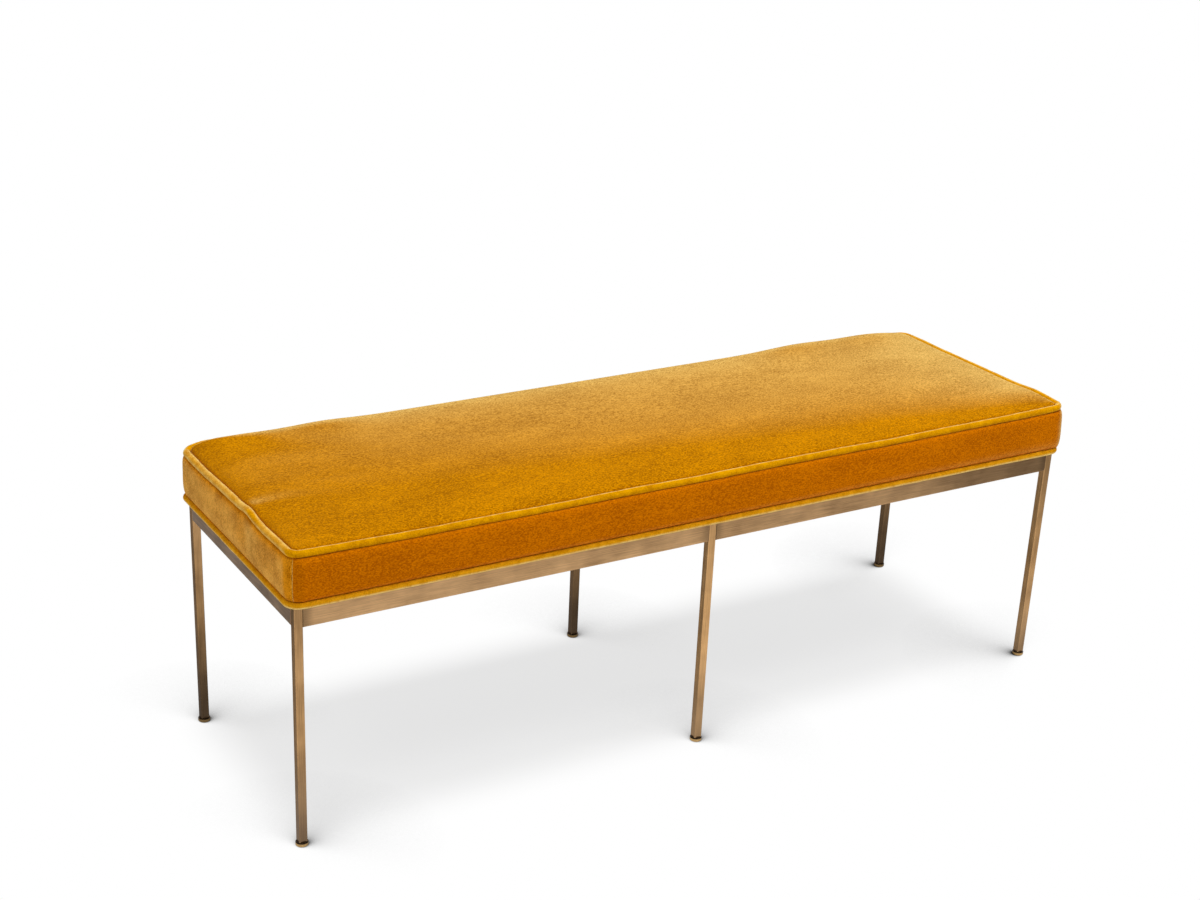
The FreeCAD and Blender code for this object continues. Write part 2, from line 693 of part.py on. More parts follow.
def bottom_welt():
    """Cased cord with a flat tail that is stapled under the board."""
    tail_top = tail_bottom + value_of("Sizes.welt_tail")
    tail_inner = -value_of(TAIL_REACH)
    tail = stack([(low_out, tail_bottom), (low_out, tail_top)])
    tail = tail.cut(stack([(tail_inner, tail_bottom - overrun), (tail_inner, tail_top + overrun)]))
    bore = rod_along(low_out, low_height, low_radius - fabric)
    casing = rod_along(low_out, low_height, low_radius).fuse(tail).cut(bore).removeSplitter()
    soft_node("bottom_welt", casing)
    soft_node("bottom_welt_cord", rod_along(low_out, low_height, low_radius - fabric - layer_gap))


def staple(x, y, along_x):
    """One driven staple: a crown under the welt's tail and two legs."""
    wire = value_of("Sizes.staple_wire")
    crown = value_of("Sizes.staple_crown")
    height = value_of("Sizes.staple_leg")
    blank = Part.makeBox(crown, wire, height, Vector(-crown / 2, -wire / 2, 0))
    window = Part.makeBox(crown - 2 * wire, 2 * wire, height, Vector(-crown / 2 + wire, -wire, wire))
    shape = blank.cut(window)
    if not along_x:
        shape.rotate(Vector(), Vector(0, 0, 1), 90)
    shape.translate(Vector(x, y, tail_bottom))
    return shape


def staples():
    """Staples in one line round the underside of the seat board."""
    inset = value_of("%s - Sizes.staple_edge" % TAIL_REACH)
    pitch = value_of("Sizes.staple_pitch")
    line_x, line_y = half_length - inset, half_depth - inset
    shapes = []
    for reach, other, along_x in ((line_x, line_y, True), (line_y, line_x, False)):
        count = math.ceil(2 * reach / pitch)
        step = 2 * reach / count
        for index in range(count):
            spot = -reach + (index + 1 / 2) * step
            for side in (-1, 1):
                x, y = (spot, side * other) if along_x else (side * other, spot)
                shapes.append(staple(x, y, along_x))
    return soft_node("staples", Part.makeCompound(shapes))


boxing()
top_panel()
foam_core()
batting_wrap()
top_welt()
bottom_welt()
staples()


# Checks, then one file for each node

document.recompute()
faulty = [item.Label for item in document.Objects if {"Invalid", "Error"} & set(item.State)]
for piece in nodes:
    if piece.Shape.isNull() or not piece.Shape.isValid() or not piece.Shape.Solids:
        faulty.append(piece.Label)
if faulty:
    raise RuntimeError("failed pieces: " + ", ".join(sorted(set(faulty))))
for piece in nodes:
    piece.Shape.exportStep("parts/%s.step" % piece.Label)
    print("%-24s solids %2d  volume %.0f mm3" % (piece.Label, len(piece.Shape.Solids), piece.Shape.Volume))
print("nodes", len(nodes))
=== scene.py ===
# %% [markdown]
# An upholstered bench in Blender
#
# The bench is a box cushion in golden mohair velvet, piped along its upper and lower edge, on a
# slim frame of square brass tube. The metal, wood and fasteners come finished from the CAD frame
# and only need materials. The soft parts are modelled here, round the solids that they replace.

import math

import bpy
from mathutils import Matrix, Vector


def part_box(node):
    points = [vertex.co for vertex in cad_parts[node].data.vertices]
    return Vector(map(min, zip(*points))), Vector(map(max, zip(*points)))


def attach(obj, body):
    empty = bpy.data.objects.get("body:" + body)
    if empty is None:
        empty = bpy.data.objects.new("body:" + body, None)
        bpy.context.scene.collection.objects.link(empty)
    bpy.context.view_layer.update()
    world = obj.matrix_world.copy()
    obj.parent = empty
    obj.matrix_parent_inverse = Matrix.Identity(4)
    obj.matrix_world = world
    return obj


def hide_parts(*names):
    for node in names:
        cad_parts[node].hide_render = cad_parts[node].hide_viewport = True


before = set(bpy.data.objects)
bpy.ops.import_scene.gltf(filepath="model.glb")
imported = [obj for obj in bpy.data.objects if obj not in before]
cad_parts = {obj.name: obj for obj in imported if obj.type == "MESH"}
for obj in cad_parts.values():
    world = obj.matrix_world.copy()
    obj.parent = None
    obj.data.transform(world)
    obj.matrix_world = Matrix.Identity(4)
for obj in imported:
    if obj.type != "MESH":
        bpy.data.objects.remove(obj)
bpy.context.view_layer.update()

# %% [markdown]
# Sizes come from the frame, so the soft parts fit whatever was packed. Everything is in metres.
# A point of the cushion is described by how far it stands outside the board's edge, its overhang,
# and by its height above the floor. The filling and the seams press the upper welt a little, so it
# shows slimmer than the solid that holds its place.

# %% Measure what carries the cushion
MM = 0.001
board_low, board_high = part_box("seat_board")
HALF_X, HALF_Y = board_high.x, board_high.y
BOARD_CORNER = 14 * MM
PRESS = 0.94
welt_low, welt_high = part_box("top_welt")
welt_radius = (welt_high.z - welt_low.z) / 2
TOP_WELT_HEIGHT = welt_high.z - welt_radius
TOP_WELT_OUT = welt_high.x - welt_radius - HALF_X
TOP_WELT_RADIUS = PRESS * welt_radius
welt_low, welt_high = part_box("bottom_welt")
LOW_WELT_RADIUS = (welt_high.z - welt_low.z) / 2
LOW_WELT_HEIGHT = welt_high.z - LOW_WELT_RADIUS
LOW_WELT_OUT = welt_high.x - LOW_WELT_RADIUS - HALF_X
PANEL_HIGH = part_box("top_panel")[1].z
print("board %.3f x %.3f m, welts %.1f and %.1f mm thick" % (
    2 * HALF_X, 2 * HALF_Y, 2 * TOP_WELT_RADIUS / MM, 2 * LOW_WELT_RADIUS / MM))

# %% [markdown]
# Operators act on whatever is selected, and the frame arrives selected. Small helpers keep that in
# hand: one makes a single object active, another opens edit mode on the faces, edges or points
# that a rule picks, and the rest do what every piece needs, from its start to its finish.

# %% Helpers for modelling
def only(piece):
    """Selects this piece alone."""
    bpy.ops.object.select_all(action="DESELECT")
    piece.select_set(True)
    bpy.context.view_layer.objects.active = piece
    return piece


def pick(piece, kind, rule):
    """Opens edit mode with the points, edges or faces that the rule picks."""
    only(piece)
    bpy.ops.object.mode_set(mode="EDIT")
    bpy.ops.mesh.select_mode(type=kind)
    bpy.ops.mesh.select_all(action="DESELECT")
    bpy.ops.object.mode_set(mode="OBJECT")
    mesh = piece.data
    items = {"VERT": mesh.vertices, "EDGE": mesh.edges, "FACE": mesh.polygons}[kind]
    for item in items:
        item.select = bool(rule(item))
    bpy.ops.object.mode_set(mode="EDIT")


def leave_edit():
    bpy.ops.object.mode_set(mode="OBJECT")


def apply_all(piece):
    """Applies the piece's modifiers in their order."""
    only(piece)
    for modifier in list(piece.modifiers):
        bpy.ops.object.modifier_apply(modifier=modifier.name)


def add_start(operator, name, place, size, **settings):
    """Adds a primitive by itself, and puts its place and size into its mesh."""
    bpy.ops.object.select_all(action="DESELECT")
    operator(size=1, location=place, **settings)
    piece = bpy.context.object
    piece.name = name
    piece.scale = size
    only(piece)
    bpy.ops.object.transform_apply(location=True, rotation=True, scale=True)
    return piece


def add_wall(piece, thickness):
    """Gives the faces a thickness inwards, so that their outside stays where it is."""
    wall = piece.modifiers.new("wall", "SOLIDIFY")
    wall.thickness = thickness
    wall.offset = -1


def give_finish(piece, finish):
    """One material for the whole piece."""
    piece.data.materials.clear()
    piece.data.materials.append(finish)
    for face in piece.data.polygons:
        face.material_index = 0


def smooth_faces(piece):
    for face in piece.data.polygons:
        face.use_smooth = True


# %% [markdown]
# ## Shader groups
#
# Three effects serve several materials, so each is a node group with named inputs: the mottled
# pile of velvet, the grain and patina of brushed metal, and the wear and painted highlight along a
# bar's edges. A group puts out only masks that change over the surface, and the shader itself stays
# in each material.
# The helpers below save typing: each adds a node or two and returns the socket that comes out.

# %% Helpers for node trees
def add_node(tree, kind, **settings):
    node = tree.nodes.new(kind)
    for name, value in settings.items():
        setattr(node, name, value)
    return node


def plug(tree, socket, value):
    """Gives a socket its link, where the value is another socket, or its plain value."""
    if isinstance(value, bpy.types.NodeSocket):
        tree.links.new(value, socket)
    else:
        socket.default_value = value


def feed(tree, node, **inputs):
    """Sets a node's inputs by name."""
    for name, value in inputs.items():
        plug(tree, node.inputs[name.replace("_", " ")], value)
    return node


def calculate(tree, operation, first, second=0.5, clamp=False):
    """A Math node on sockets or numbers."""
    node = add_node(tree, "ShaderNodeMath", operation=operation, use_clamp=clamp)
    plug(tree, node.inputs[0], first)
    plug(tree, node.inputs[1], second)
    return node.outputs[0]


def one_minus(tree, value, clamp=False):
    return calculate(tree, "SUBTRACT", 1.0, value, clamp)


def remap(tree, value, low, high, start=0.0, end=1.0, kind="LINEAR"):
    """Runs from start to end while the value runs from low to high."""
    node = add_node(tree, "ShaderNodeMapRange", interpolation_type=kind)
    feed(tree, node, Value=value, From_Min=low, From_Max=high, To_Min=start, To_Max=end)
    return node.outputs[0]


def smooth_mask(tree, value, low, high, most=1.0):
    """Runs smoothly from 0 at low to most at high."""
    return remap(tree, value, low, high, 0.0, most, "SMOOTHSTEP")


def blend_colours(tree, share, low, high):
    """Mixes two colours by a socket that runs from 0 to 1."""
    node = add_node(tree, "ShaderNodeMix", data_type="RGBA")
    tree.links.new(share, node.inputs[0])
    for socket, value in ((node.inputs[6], low), (node.inputs[7], high)):
        plug(tree, socket, value if isinstance(value, bpy.types.NodeSocket) else (*value, 1.0))
    return node.outputs[2]


def stretch(tree, place, shares):
    """The place times a share along X, Y and Z. A small share draws a noise out along that way."""
    node = add_node(tree, "ShaderNodeVectorMath", operation="MULTIPLY")
    plug(tree, node.inputs[0], place)
    plug(tree, node.inputs[1], shares)
    return node.outputs[0]


def new_group(name, inputs, outputs):
    """A shader group. Inputs are (name, socket type, default), outputs are names of values."""
    tree = bpy.data.node_groups.new(name, "ShaderNodeTree")
    for label, kind, default in inputs:
        socket = tree.interface.new_socket(label, in_out="INPUT", socket_type=kind)
        if default is not None:
            socket.default_value = default
    for label in outputs:
        tree.interface.new_socket(label, in_out="OUTPUT", socket_type="NodeSocketFloat")
    print("group", name, "puts out", outputs)
    return tree, tree.nodes.new("NodeGroupInput"), tree.nodes.new("NodeGroupOutput")


def scaled_noise(tree, position, size, detail, roughness=0.5):
    """Noise whose largest grains are about that size."""
    scale = calculate(tree, "DIVIDE", 1.0, size)
    noise = add_node(tree, "ShaderNodeTexNoise")
    feed(tree, noise, Vector=position, Scale=scale, Detail=detail, Roughness=roughness)
    return noise.outputs[0]


# %% [markdown]
# Short, dense mohair is never one tone: single tufts catch the light, they lean together in
# clusters, and a hand that strokes them leaves wide patches. So three noises of three sizes are
# mixed, and the middle of their range is spread out to the full one.

# %% Pile: the mottling of short, dense mohair
pile, pile_in, pile_out = new_group(
    "pile",
    [("Vector", "NodeSocketVector", None), ("Lay", "NodeSocketVector", (1.0, 1.0, 1.0)),
     ("Tuft", "NodeSocketFloat", 1.8 * MM), ("Patch", "NodeSocketFloat", 50 * MM),
     ("Patchiness", "NodeSocketFloat", 0.2)],
    ["Tone", "Height"],
)
CLUSTER_TUFTS, CLUSTER_SHARE = 3.0, 0.15
PILE_SPREAD = 0.10
laid = stretch(pile, pile_in.outputs["Vector"], pile_in.outputs["Lay"])
tuft = scaled_noise(pile, laid, pile_in.outputs["Tuft"], 2.0, 0.7)
cluster_size = calculate(pile, "MULTIPLY", pile_in.outputs["Tuft"], CLUSTER_TUFTS)
cluster = scaled_noise(pile, laid, cluster_size, 1.0)
patch = scaled_noise(pile, laid, pile_in.outputs["Patch"], 3.0)
near = calculate(pile, "ADD", calculate(pile, "MULTIPLY", tuft, 1 - CLUSTER_SHARE),
                 calculate(pile, "MULTIPLY", cluster, CLUSTER_SHARE))
lean = add_node(pile, "ShaderNodeMix", data_type="FLOAT")
pile.links.new(pile_in.outputs["Patchiness"], lean.inputs[0])
pile.links.new(near, lean.inputs[2])
pile.links.new(patch, lean.inputs[3])
tone = remap(pile, lean.outputs[0], 0.5 - PILE_SPREAD, 0.5 + PILE_SPREAD)
pile.links.new(tone, pile_out.inputs["Tone"])
pile.links.new(tuft, pile_out.inputs["Height"])

# %% [markdown]
# A brushed bar carries fine scratches along its length, so one noise is drawn out that way. Its
# patina is a second, slow noise, and is not drawn out.

# %% Brushed: fine streaks along a bar, and slow blotches of patina
brushed, brushed_in, brushed_out = new_group(
    "brushed",
    [("Vector", "NodeSocketVector", None), ("Across", "NodeSocketVector", (1.0, 1.0, 1.0)),
     ("Streak", "NodeSocketFloat", 0.6 * MM), ("Blotch", "NodeSocketFloat", 60 * MM)],
    ["Streak", "Patina"],
)
STREAK_SPREAD, PATINA_SPREAD = 0.13, 0.2
drawn = stretch(brushed, brushed_in.outputs["Vector"], brushed_in.outputs["Across"])
streak = scaled_noise(brushed, drawn, brushed_in.outputs["Streak"], 4.0, 0.7)
blotch = scaled_noise(brushed, brushed_in.outputs["Vector"], brushed_in.outputs["Blotch"], 3.0, 0.55)
for label, socket, spread in (("Streak", streak, STREAK_SPREAD), ("Patina", blotch, PATINA_SPREAD)):
    wider = remap(brushed, socket, 0.5 - spread, 0.5 + spread)
    brushed.links.new(wider, brushed_out.inputs[label])

# %% [markdown]
# Hands and cloths rub the edges of a bar bright, and a rounded edge catches a highlight; this mask
# paints both into the colour. A Bevel node gives the normal that the surface would have with its
# edges rounded, and where that differs from the true one, an edge is near.

# %% Rubbed highlight: a mask of a bar's edges, for their wear and a painted highlight
EDGE_LIKENESS = (0.995, 0.90)
rubbed_highlight, rubbed_highlight_in, rubbed_highlight_out = new_group("rubbed_highlight", [("Reach", "NodeSocketFloat", 2.2 * MM)], ["Edge"])
rounded = add_node(rubbed_highlight, "ShaderNodeBevel", samples=6)
rubbed_highlight.links.new(rubbed_highlight_in.outputs["Reach"], rounded.inputs["Radius"])
flat = add_node(rubbed_highlight, "ShaderNodeNewGeometry")
likeness = add_node(rubbed_highlight, "ShaderNodeVectorMath", operation="DOT_PRODUCT")
rubbed_highlight.links.new(rounded.outputs[0], likeness.inputs[0])
rubbed_highlight.links.new(flat.outputs["Normal"], likeness.inputs[1])
rubbed_highlight.links.new(remap(rubbed_highlight, likeness.outputs["Value"], *EDGE_LIKENESS), rubbed_highlight_out.inputs["Edge"])

# %% [markdown]
# ## Materials
#
# Looking into the pile of velvet shows its saturated depth, and looking along it catches light on
# the pale tips. That sheen is painted into the base colour: it turns pale where the surface slants
# away, over a span of slants that each panel has for itself, and once more as a painted highlight at
# its very rim. The painted sheen is kept to faces that light falls on, which leaves out faces that
# look down; on the lower piping it lies on the underside, which the white floor lights. The
# Principled sheen adds a little light.
#
# Two attributes painted on the mesh later guide the pile along the seams: "seam" paints shade into
# the creases beside the welts, where the pile is pinched too, and a little round the corners beside
# the upright seams, and the fuzz attribute paints a highlight on single tufts that stand out along the
# upright corner seams. The panels share one recipe. The top gets painted shade on its slopes that
# fall away to the left end. The end panels' pile was brushed about when they were sewn on, so they
# are patchier.

# %% Velvet
SHEEN_COLOUR = (1.0, 0.78, 0.25)
# Painted light in the velvet's colour: sheen on the tips and rims, shade in the creases, highlights on
# corner tufts, and shade on slopes to the left.
TIP_SHEEN_COLOUR = (0.96, 0.69, 0.224)
RIM_SHEEN_FROM, RIM_SHEEN_MOST = 0.72, 0.40
SHEEN_MOTTLE = (0.45, 1.55)
FUZZ_HIGHLIGHT_COLOUR, FUZZ_HIGHLIGHT_MOST = (1.0, 0.60, 0.06), 0.55
FUZZ_NARROW, FUZZ_TUFTS = 5.0, (0.35, 0.75)
CREASE_SHADE_COLOUR, SEAM_SHADE = (0.30, 0.095, 0.0), 0.35
LIT_ABOVE, LIT_BELOW = (-0.6, 0.0), (0.3, -0.6)
LEFT_SLOPE_SHADE_SPAN, LEFT_SLOPE_SHADE_MOST = (-0.24, -0.08), 0.25


def new_material(name):
    material = bpy.data.materials.new(name)
    material.use_nodes = True
    tree = material.node_tree
    shader = tree.nodes["Principled BSDF"]
    place = add_node(tree, "ShaderNodeTexCoord").outputs["Object"]
    return material, tree, shader, place


def use_group(tree, group, place, **inputs):
    node = add_node(tree, "ShaderNodeGroup", node_tree=group)
    return feed(tree, node, Vector=place, **inputs)


def bump(tree, shader, height, strength, distance):
    node = add_node(tree, "ShaderNodeBump")
    feed(tree, node, Height=height, Strength=strength, Distance=distance)
    tree.links.new(node.outputs[0], shader.inputs["Normal"])


def painted(tree, name):
    """The value painted on the mesh under that name."""
    return add_node(tree, "ShaderNodeAttribute", attribute_name=name).outputs["Fac"]


def velvet(name, deep, light, lay, sheen_tips, patchiness=0.15, patch=50 * MM, lit=LIT_ABOVE, left_slope_shade=None):
    """Mohair velvet: its two tones, the lay of its pile, and the slants given a painted sheen."""
    material, tree, shader, place = new_material(name)
    tufts = use_group(tree, pile, place, Lay=lay, Patchiness=patchiness, Patch=patch)
    facing = add_node(tree, "ShaderNodeSeparateXYZ")
    tree.links.new(add_node(tree, "ShaderNodeNewGeometry").outputs["Normal"], facing.inputs[0])
    shade = tufts.outputs["Tone"]
    # Painted shade on the top's slopes that fall away to the left end.
    if left_slope_shade:
        slope_shade = smooth_mask(tree, facing.outputs["X"], *left_slope_shade, LEFT_SLOPE_SHADE_MOST)
        slope_shade = calculate(tree, "ADD", 1 - LEFT_SLOPE_SHADE_MOST, slope_shade)
        shade = calculate(tree, "MULTIPLY", shade, slope_shade)
    tone = blend_colours(tree, shade, deep, light)
    # Painted shade from the "seam" attribute, in the creases beside the welts and round the corners;
    # the pinched pile there is darker too.
    seam = painted(tree, "seam")
    tone = blend_colours(tree, calculate(tree, "MULTIPLY", seam, SEAM_SHADE), tone, CREASE_SHADE_COLOUR)
    # Painted highlight on single tufts along the upright corner seams.
    fuzz_highlight = calculate(tree, "POWER", painted(tree, "fuzz_highlight"), FUZZ_NARROW)
    fuzz_highlight = calculate(tree, "MULTIPLY", fuzz_highlight, smooth_mask(tree, tufts.outputs["Tone"], *FUZZ_TUFTS))
    tone = blend_colours(tree, calculate(tree, "MULTIPLY", fuzz_highlight, FUZZ_HIGHLIGHT_MOST), tone, FUZZ_HIGHLIGHT_COLOUR)
    # Painted sheen: the base colour turns pale where the surface slants away from the eye and light
    # falls on it.
    slant = feed(tree, add_node(tree, "ShaderNodeLayerWeight"), Blend=0.5).outputs["Facing"]
    painted_sheen = calculate(tree, "ADD", smooth_mask(tree, slant, *sheen_tips),
                     smooth_mask(tree, slant, RIM_SHEEN_FROM, 1.0, RIM_SHEEN_MOST))
    sheen_mottle = remap(tree, tufts.outputs["Tone"], 0.0, 1.0, *SHEEN_MOTTLE)
    painted_sheen = calculate(tree, "MULTIPLY", painted_sheen, sheen_mottle)
    painted_sheen = calculate(tree, "MULTIPLY", painted_sheen, smooth_mask(tree, facing.outputs["Z"], *lit))
    # No painted sheen inside the painted crease shade.
    painted_sheen = calculate(tree, "MULTIPLY", painted_sheen, one_minus(tree, seam), clamp=True)
    tree.links.new(blend_colours(tree, painted_sheen, tone, TIP_SHEEN_COLOUR), shader.inputs["Base Color"])
    feed(tree, shader, Roughness=0.9, Specular_IOR_Level=0.0, Sheen_Weight=0.3, Sheen_Roughness=0.3,
         Sheen_Tint=(*SHEEN_COLOUR, 1.0))
    bump(tree, shader, tufts.outputs["Height"], 0.6, 1.5 * MM)
    print("velvet:", name)
    return material


# %% [markdown]
# Each finish takes its deep and its light tone, then the lay, and then its painted sheen on the
# tips: from which slant, up to which slant, and how much it pales them. A slant of 0 faces the eye
# and 1 lies along the view. A patch gives how patchy the pile is, and how large its patches are.

# %% The bench's velvets
TOP_SHEEN, SIDE_SHEEN, END_SHEEN = (0.57, 0.73, 0.44), (0.34, 0.70, 0.6), (0.50, 0.76, 0.28)
WELT_SHEEN, LOW_WELT_SHEEN = (0.40, 0.78, 0.6), (0.05, 0.42, 0.9)
EVEN, ACROSS_LAY, DOWN_LAY = (1.0, 1.0, 1.0), (0.55, 1.0, 1.0), (1.0, 1.0, 0.8)
END_PATCH, WELT_PATCH = (0.38, 26 * MM), (0.35, 12 * MM)
velvet_top_finish = velvet(
    "velvet_top", (0.34, 0.115, 0.0), (0.73, 0.285, 0.0), ACROSS_LAY, TOP_SHEEN, left_slope_shade=LEFT_SLOPE_SHADE_SPAN)
velvet_side_finish = velvet(
    "velvet_side", (0.46, 0.107, 0.0), (0.77, 0.217, 0.0), ACROSS_LAY, SIDE_SHEEN)
velvet_end_finish = velvet(
    "velvet_end", (0.44, 0.133, 0.0), (0.99, 0.375, 0.012), DOWN_LAY, END_SHEEN, *END_PATCH)
velvet_welt_finish = velvet(
    "velvet_welt", (0.58, 0.220, 0.0), (0.86, 0.390, 0.0), EVEN, WELT_SHEEN, *WELT_PATCH)
# A lighter copy of the welt's velvet for the lower piping: painted light against the shade it sits in.
lit_low_welt_finish = velvet(
    "velvet_low_welt_lit", (0.64, 0.245, 0.0), (0.94, 0.430, 0.01), EVEN, LOW_WELT_SHEEN, *WELT_PATCH,
    LIT_BELOW)

# %% [markdown]
# The brass is brushed along each bar, so the streaks run along Z on the legs, along X on the long
# rails and along Y on the end rails, and its highlight is drawn out across them, which is what the
# anisotropic turn is for. Its lacquer has aged to brown in blotches. Its edges are lighter, partly
# rubbed bright and partly a painted highlight. Where two bars meet, the welding left a thin dark
# line with a brown haze beside it. The rest is painted light: the long rails darken towards their
# right end as a painted reflection, the legs get painted shade towards the floor, two of the front
# legs a lighter copy of the finish and the end rails a darker, greyer one, and the glides get painted
# shade above their bright foot, where they sit under and inside the leg.

# %% Metals
# Tints and spans for the weld marks and for painted shade: the rails' right end, the feet and the
# glides' tops.
HEAT_AND_SHADE_TINT, FOOT_SHADE_TINT = (0.05, 0.030, 0.016), (0.13, 0.10, 0.08)
HAZE_SPAN, HAZE_MOST = (18 * MM, 0.0), 0.40
LINE_SPAN, LINE_MOST = (1.3 * MM, 0.4 * MM), 0.75
RIGHT_DIM_SPAN, RIGHT_DIM_MOST = (0.25, 0.66), 0.50
FOOT_SHADE_SPAN = (0.20, 0.01)
SHADE_EDGE = 1 * MM
RUBBED_HIGHLIGHT_GAIN, RUBBED_HIGHLIGHT_MOST = 2.4, 0.85
ROUGH_BELOW, ROUGH_ABOVE = 0.06, 0.08


def tinted(tree, colour, value, span, most, tint):
    """Blends a colour towards a tint while the value runs through the span."""
    return blend_colours(tree, smooth_mask(tree, value, *span, most), colour, tint)


def brass(name, across, dull, bright, rough=0.38, streak=0.6 * MM, turn=None, joints=None,
          shade_above=None, foot_shade=0.0):
    """Brushed metal with patina and painted light. Across is small along the bar, joints are distances
    in X.
    """
    material, tree, shader, place = new_material(name)
    grain = use_group(tree, brushed, place, Across=across, Streak=streak)
    mixed = calculate(tree, "ADD", calculate(tree, "MULTIPLY", grain.outputs["Patina"], 0.5),
                      calculate(tree, "MULTIPLY", grain.outputs["Streak"], 0.5))
    aged_and_painted_light = blend_colours(tree, mixed, dull, bright)
    split = add_node(tree, "ShaderNodeSeparateXYZ")
    tree.links.new(place, split.inputs[0])
    if joints:
        from_middle = calculate(tree, "ABSOLUTE", split.outputs["X"])
        gap = calculate(tree, "MINIMUM", *(calculate(
            tree, "ABSOLUTE", calculate(tree, "SUBTRACT", from_middle, joint)) for joint in joints))
        aged_and_painted_light = tinted(tree, aged_and_painted_light, gap, HAZE_SPAN, HAZE_MOST, HEAT_AND_SHADE_TINT)
        # Painted reflection: the long rails darken towards their right end, where they reflect a
        # dimmer studio.
        aged_and_painted_light = tinted(tree, aged_and_painted_light, split.outputs["X"], RIGHT_DIM_SPAN, RIGHT_DIM_MOST, HEAT_AND_SHADE_TINT)
    # Painted highlight with some real wear: edges lightened as the rounded edges catch the light.
    edge = add_node(tree, "ShaderNodeGroup", node_tree=rubbed_highlight).outputs["Edge"]
    gain = min(RUBBED_HIGHLIGHT_GAIN, 1 / max(bright))
    rubbed_highlight_colour = tuple(gain * value for value in bright)
    aged_and_painted_light = blend_colours(tree, calculate(tree, "MULTIPLY", edge, RUBBED_HIGHLIGHT_MOST), aged_and_painted_light, rubbed_highlight_colour)
    if joints:
        aged_and_painted_light = tinted(tree, aged_and_painted_light, gap, LINE_SPAN, LINE_MOST, HEAT_AND_SHADE_TINT)
    # Painted shade towards the floor, for the shaded floor that the feet reflect.
    if foot_shade:
        aged_and_painted_light = tinted(tree, aged_and_painted_light, split.outputs["Z"], FOOT_SHADE_SPAN, foot_shade, FOOT_SHADE_TINT)
    # Painted shade on the glide above its foot, where it sits under and inside the leg.
    if shade_above:
        span = (shade_above - SHADE_EDGE, shade_above)
        aged_and_painted_light = tinted(tree, aged_and_painted_light, split.outputs["Z"], span, 1.0, HEAT_AND_SHADE_TINT)
    tree.links.new(aged_and_painted_light, shader.inputs["Base Color"])
    shader.inputs["Metallic"].default_value = 1.0
    if turn is not None:
        feed(tree, shader, Anisotropic=0.8, Anisotropic_Rotation=turn)
    sweep = remap(tree, grain.outputs["Streak"], 0.0, 1.0, rough - ROUGH_BELOW, rough + ROUGH_ABOVE)
    tree.links.new(sweep, shader.inputs["Roughness"])
    bump(tree, shader, grain.outputs["Streak"], 0.15, 0.15 * MM)
    print("metal:", name)
    return material


# %% The bench's metals
ALONG = 0.02
UPRIGHT, LONG, CROSS = (1.0, 1.0, ALONG), (ALONG, 1.0, 1.0), (1.0, ALONG, 1.0)
UPRIGHT_TURN, LEVEL_TURN = 0.0, 0.25
BAR_STREAK, GLIDE_STREAK = 1.2 * MM, 2 * MM
rail_low, rail_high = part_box("rail_front_right")
# Painted shade on the glides starts this high.
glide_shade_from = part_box("leg_front_left")[0].z - 2 * MM
leg_finish = brass("brass_leg", UPRIGHT, (0.26, 0.143, 0.060), (0.70, 0.415, 0.185),
                   streak=BAR_STREAK, turn=UPRIGHT_TURN, foot_shade=0.65)
# A lighter copy of the leg finish: painted light for two front legs that catch more of it.
lit_leg_finish = brass("brass_leg_lit", UPRIGHT, (0.34, 0.185, 0.076), (0.92, 0.545, 0.235),
                          streak=BAR_STREAK, turn=UPRIGHT_TURN, foot_shade=0.5)
rail_finish = brass("brass_rail", LONG, (0.31, 0.178, 0.080), (0.80, 0.490, 0.237),
                    streak=BAR_STREAK, turn=LEVEL_TURN, joints=(rail_low.x, rail_high.x))
# A darker, greyer copy of the rails' brass for the end and cross rails: painted shade for the dimmer
# studio they reflect.
shaded_end_finish = brass("brass_end_shaded", CROSS, (0.27, 0.182, 0.118), (0.64, 0.443, 0.290),
                   streak=BAR_STREAK, turn=LEVEL_TURN)
glide_finish = brass("brass_glide", EVEN, (0.34, 0.200, 0.075), (0.80, 0.520, 0.220), 0.20,
                     GLIDE_STREAK, shade_above=glide_shade_from)
steel_finish = brass("bare_steel", EVEN, (0.30, 0.30, 0.29), (0.52, 0.52, 0.51), 0.42)
tab_finish = brass("lacquered_steel", EVEN, (0.16, 0.105, 0.06), (0.28, 0.20, 0.13), 0.45)
zinc_finish = brass("zinc", EVEN, (0.48, 0.49, 0.50), (0.70, 0.71, 0.71), 0.34)
print("glides are dark above %.1f mm" % (glide_shade_from / MM))

# %% [markdown]
# The remaining finishes belong to parts that hardly show: the plywood board, the plastic floor
# pads, the black dust cloth and the filling.

# %% Wood, plastic, cloth and filling
def plain_finish(name, low, high, size, rough, shares=EVEN):
    """A dull finish whose tone and relief follow a noise, drawn out where a share is small."""
    material, tree, shader, place = new_material(name)
    grain = scaled_noise(tree, stretch(tree, place, shares), size, 4.0, 0.6)
    tree.links.new(blend_colours(tree, grain, low, high), shader.inputs["Base Color"])
    shader.inputs["Roughness"].default_value = rough
    bump(tree, shader, grain, 0.3, 0.3 * MM)
    return material


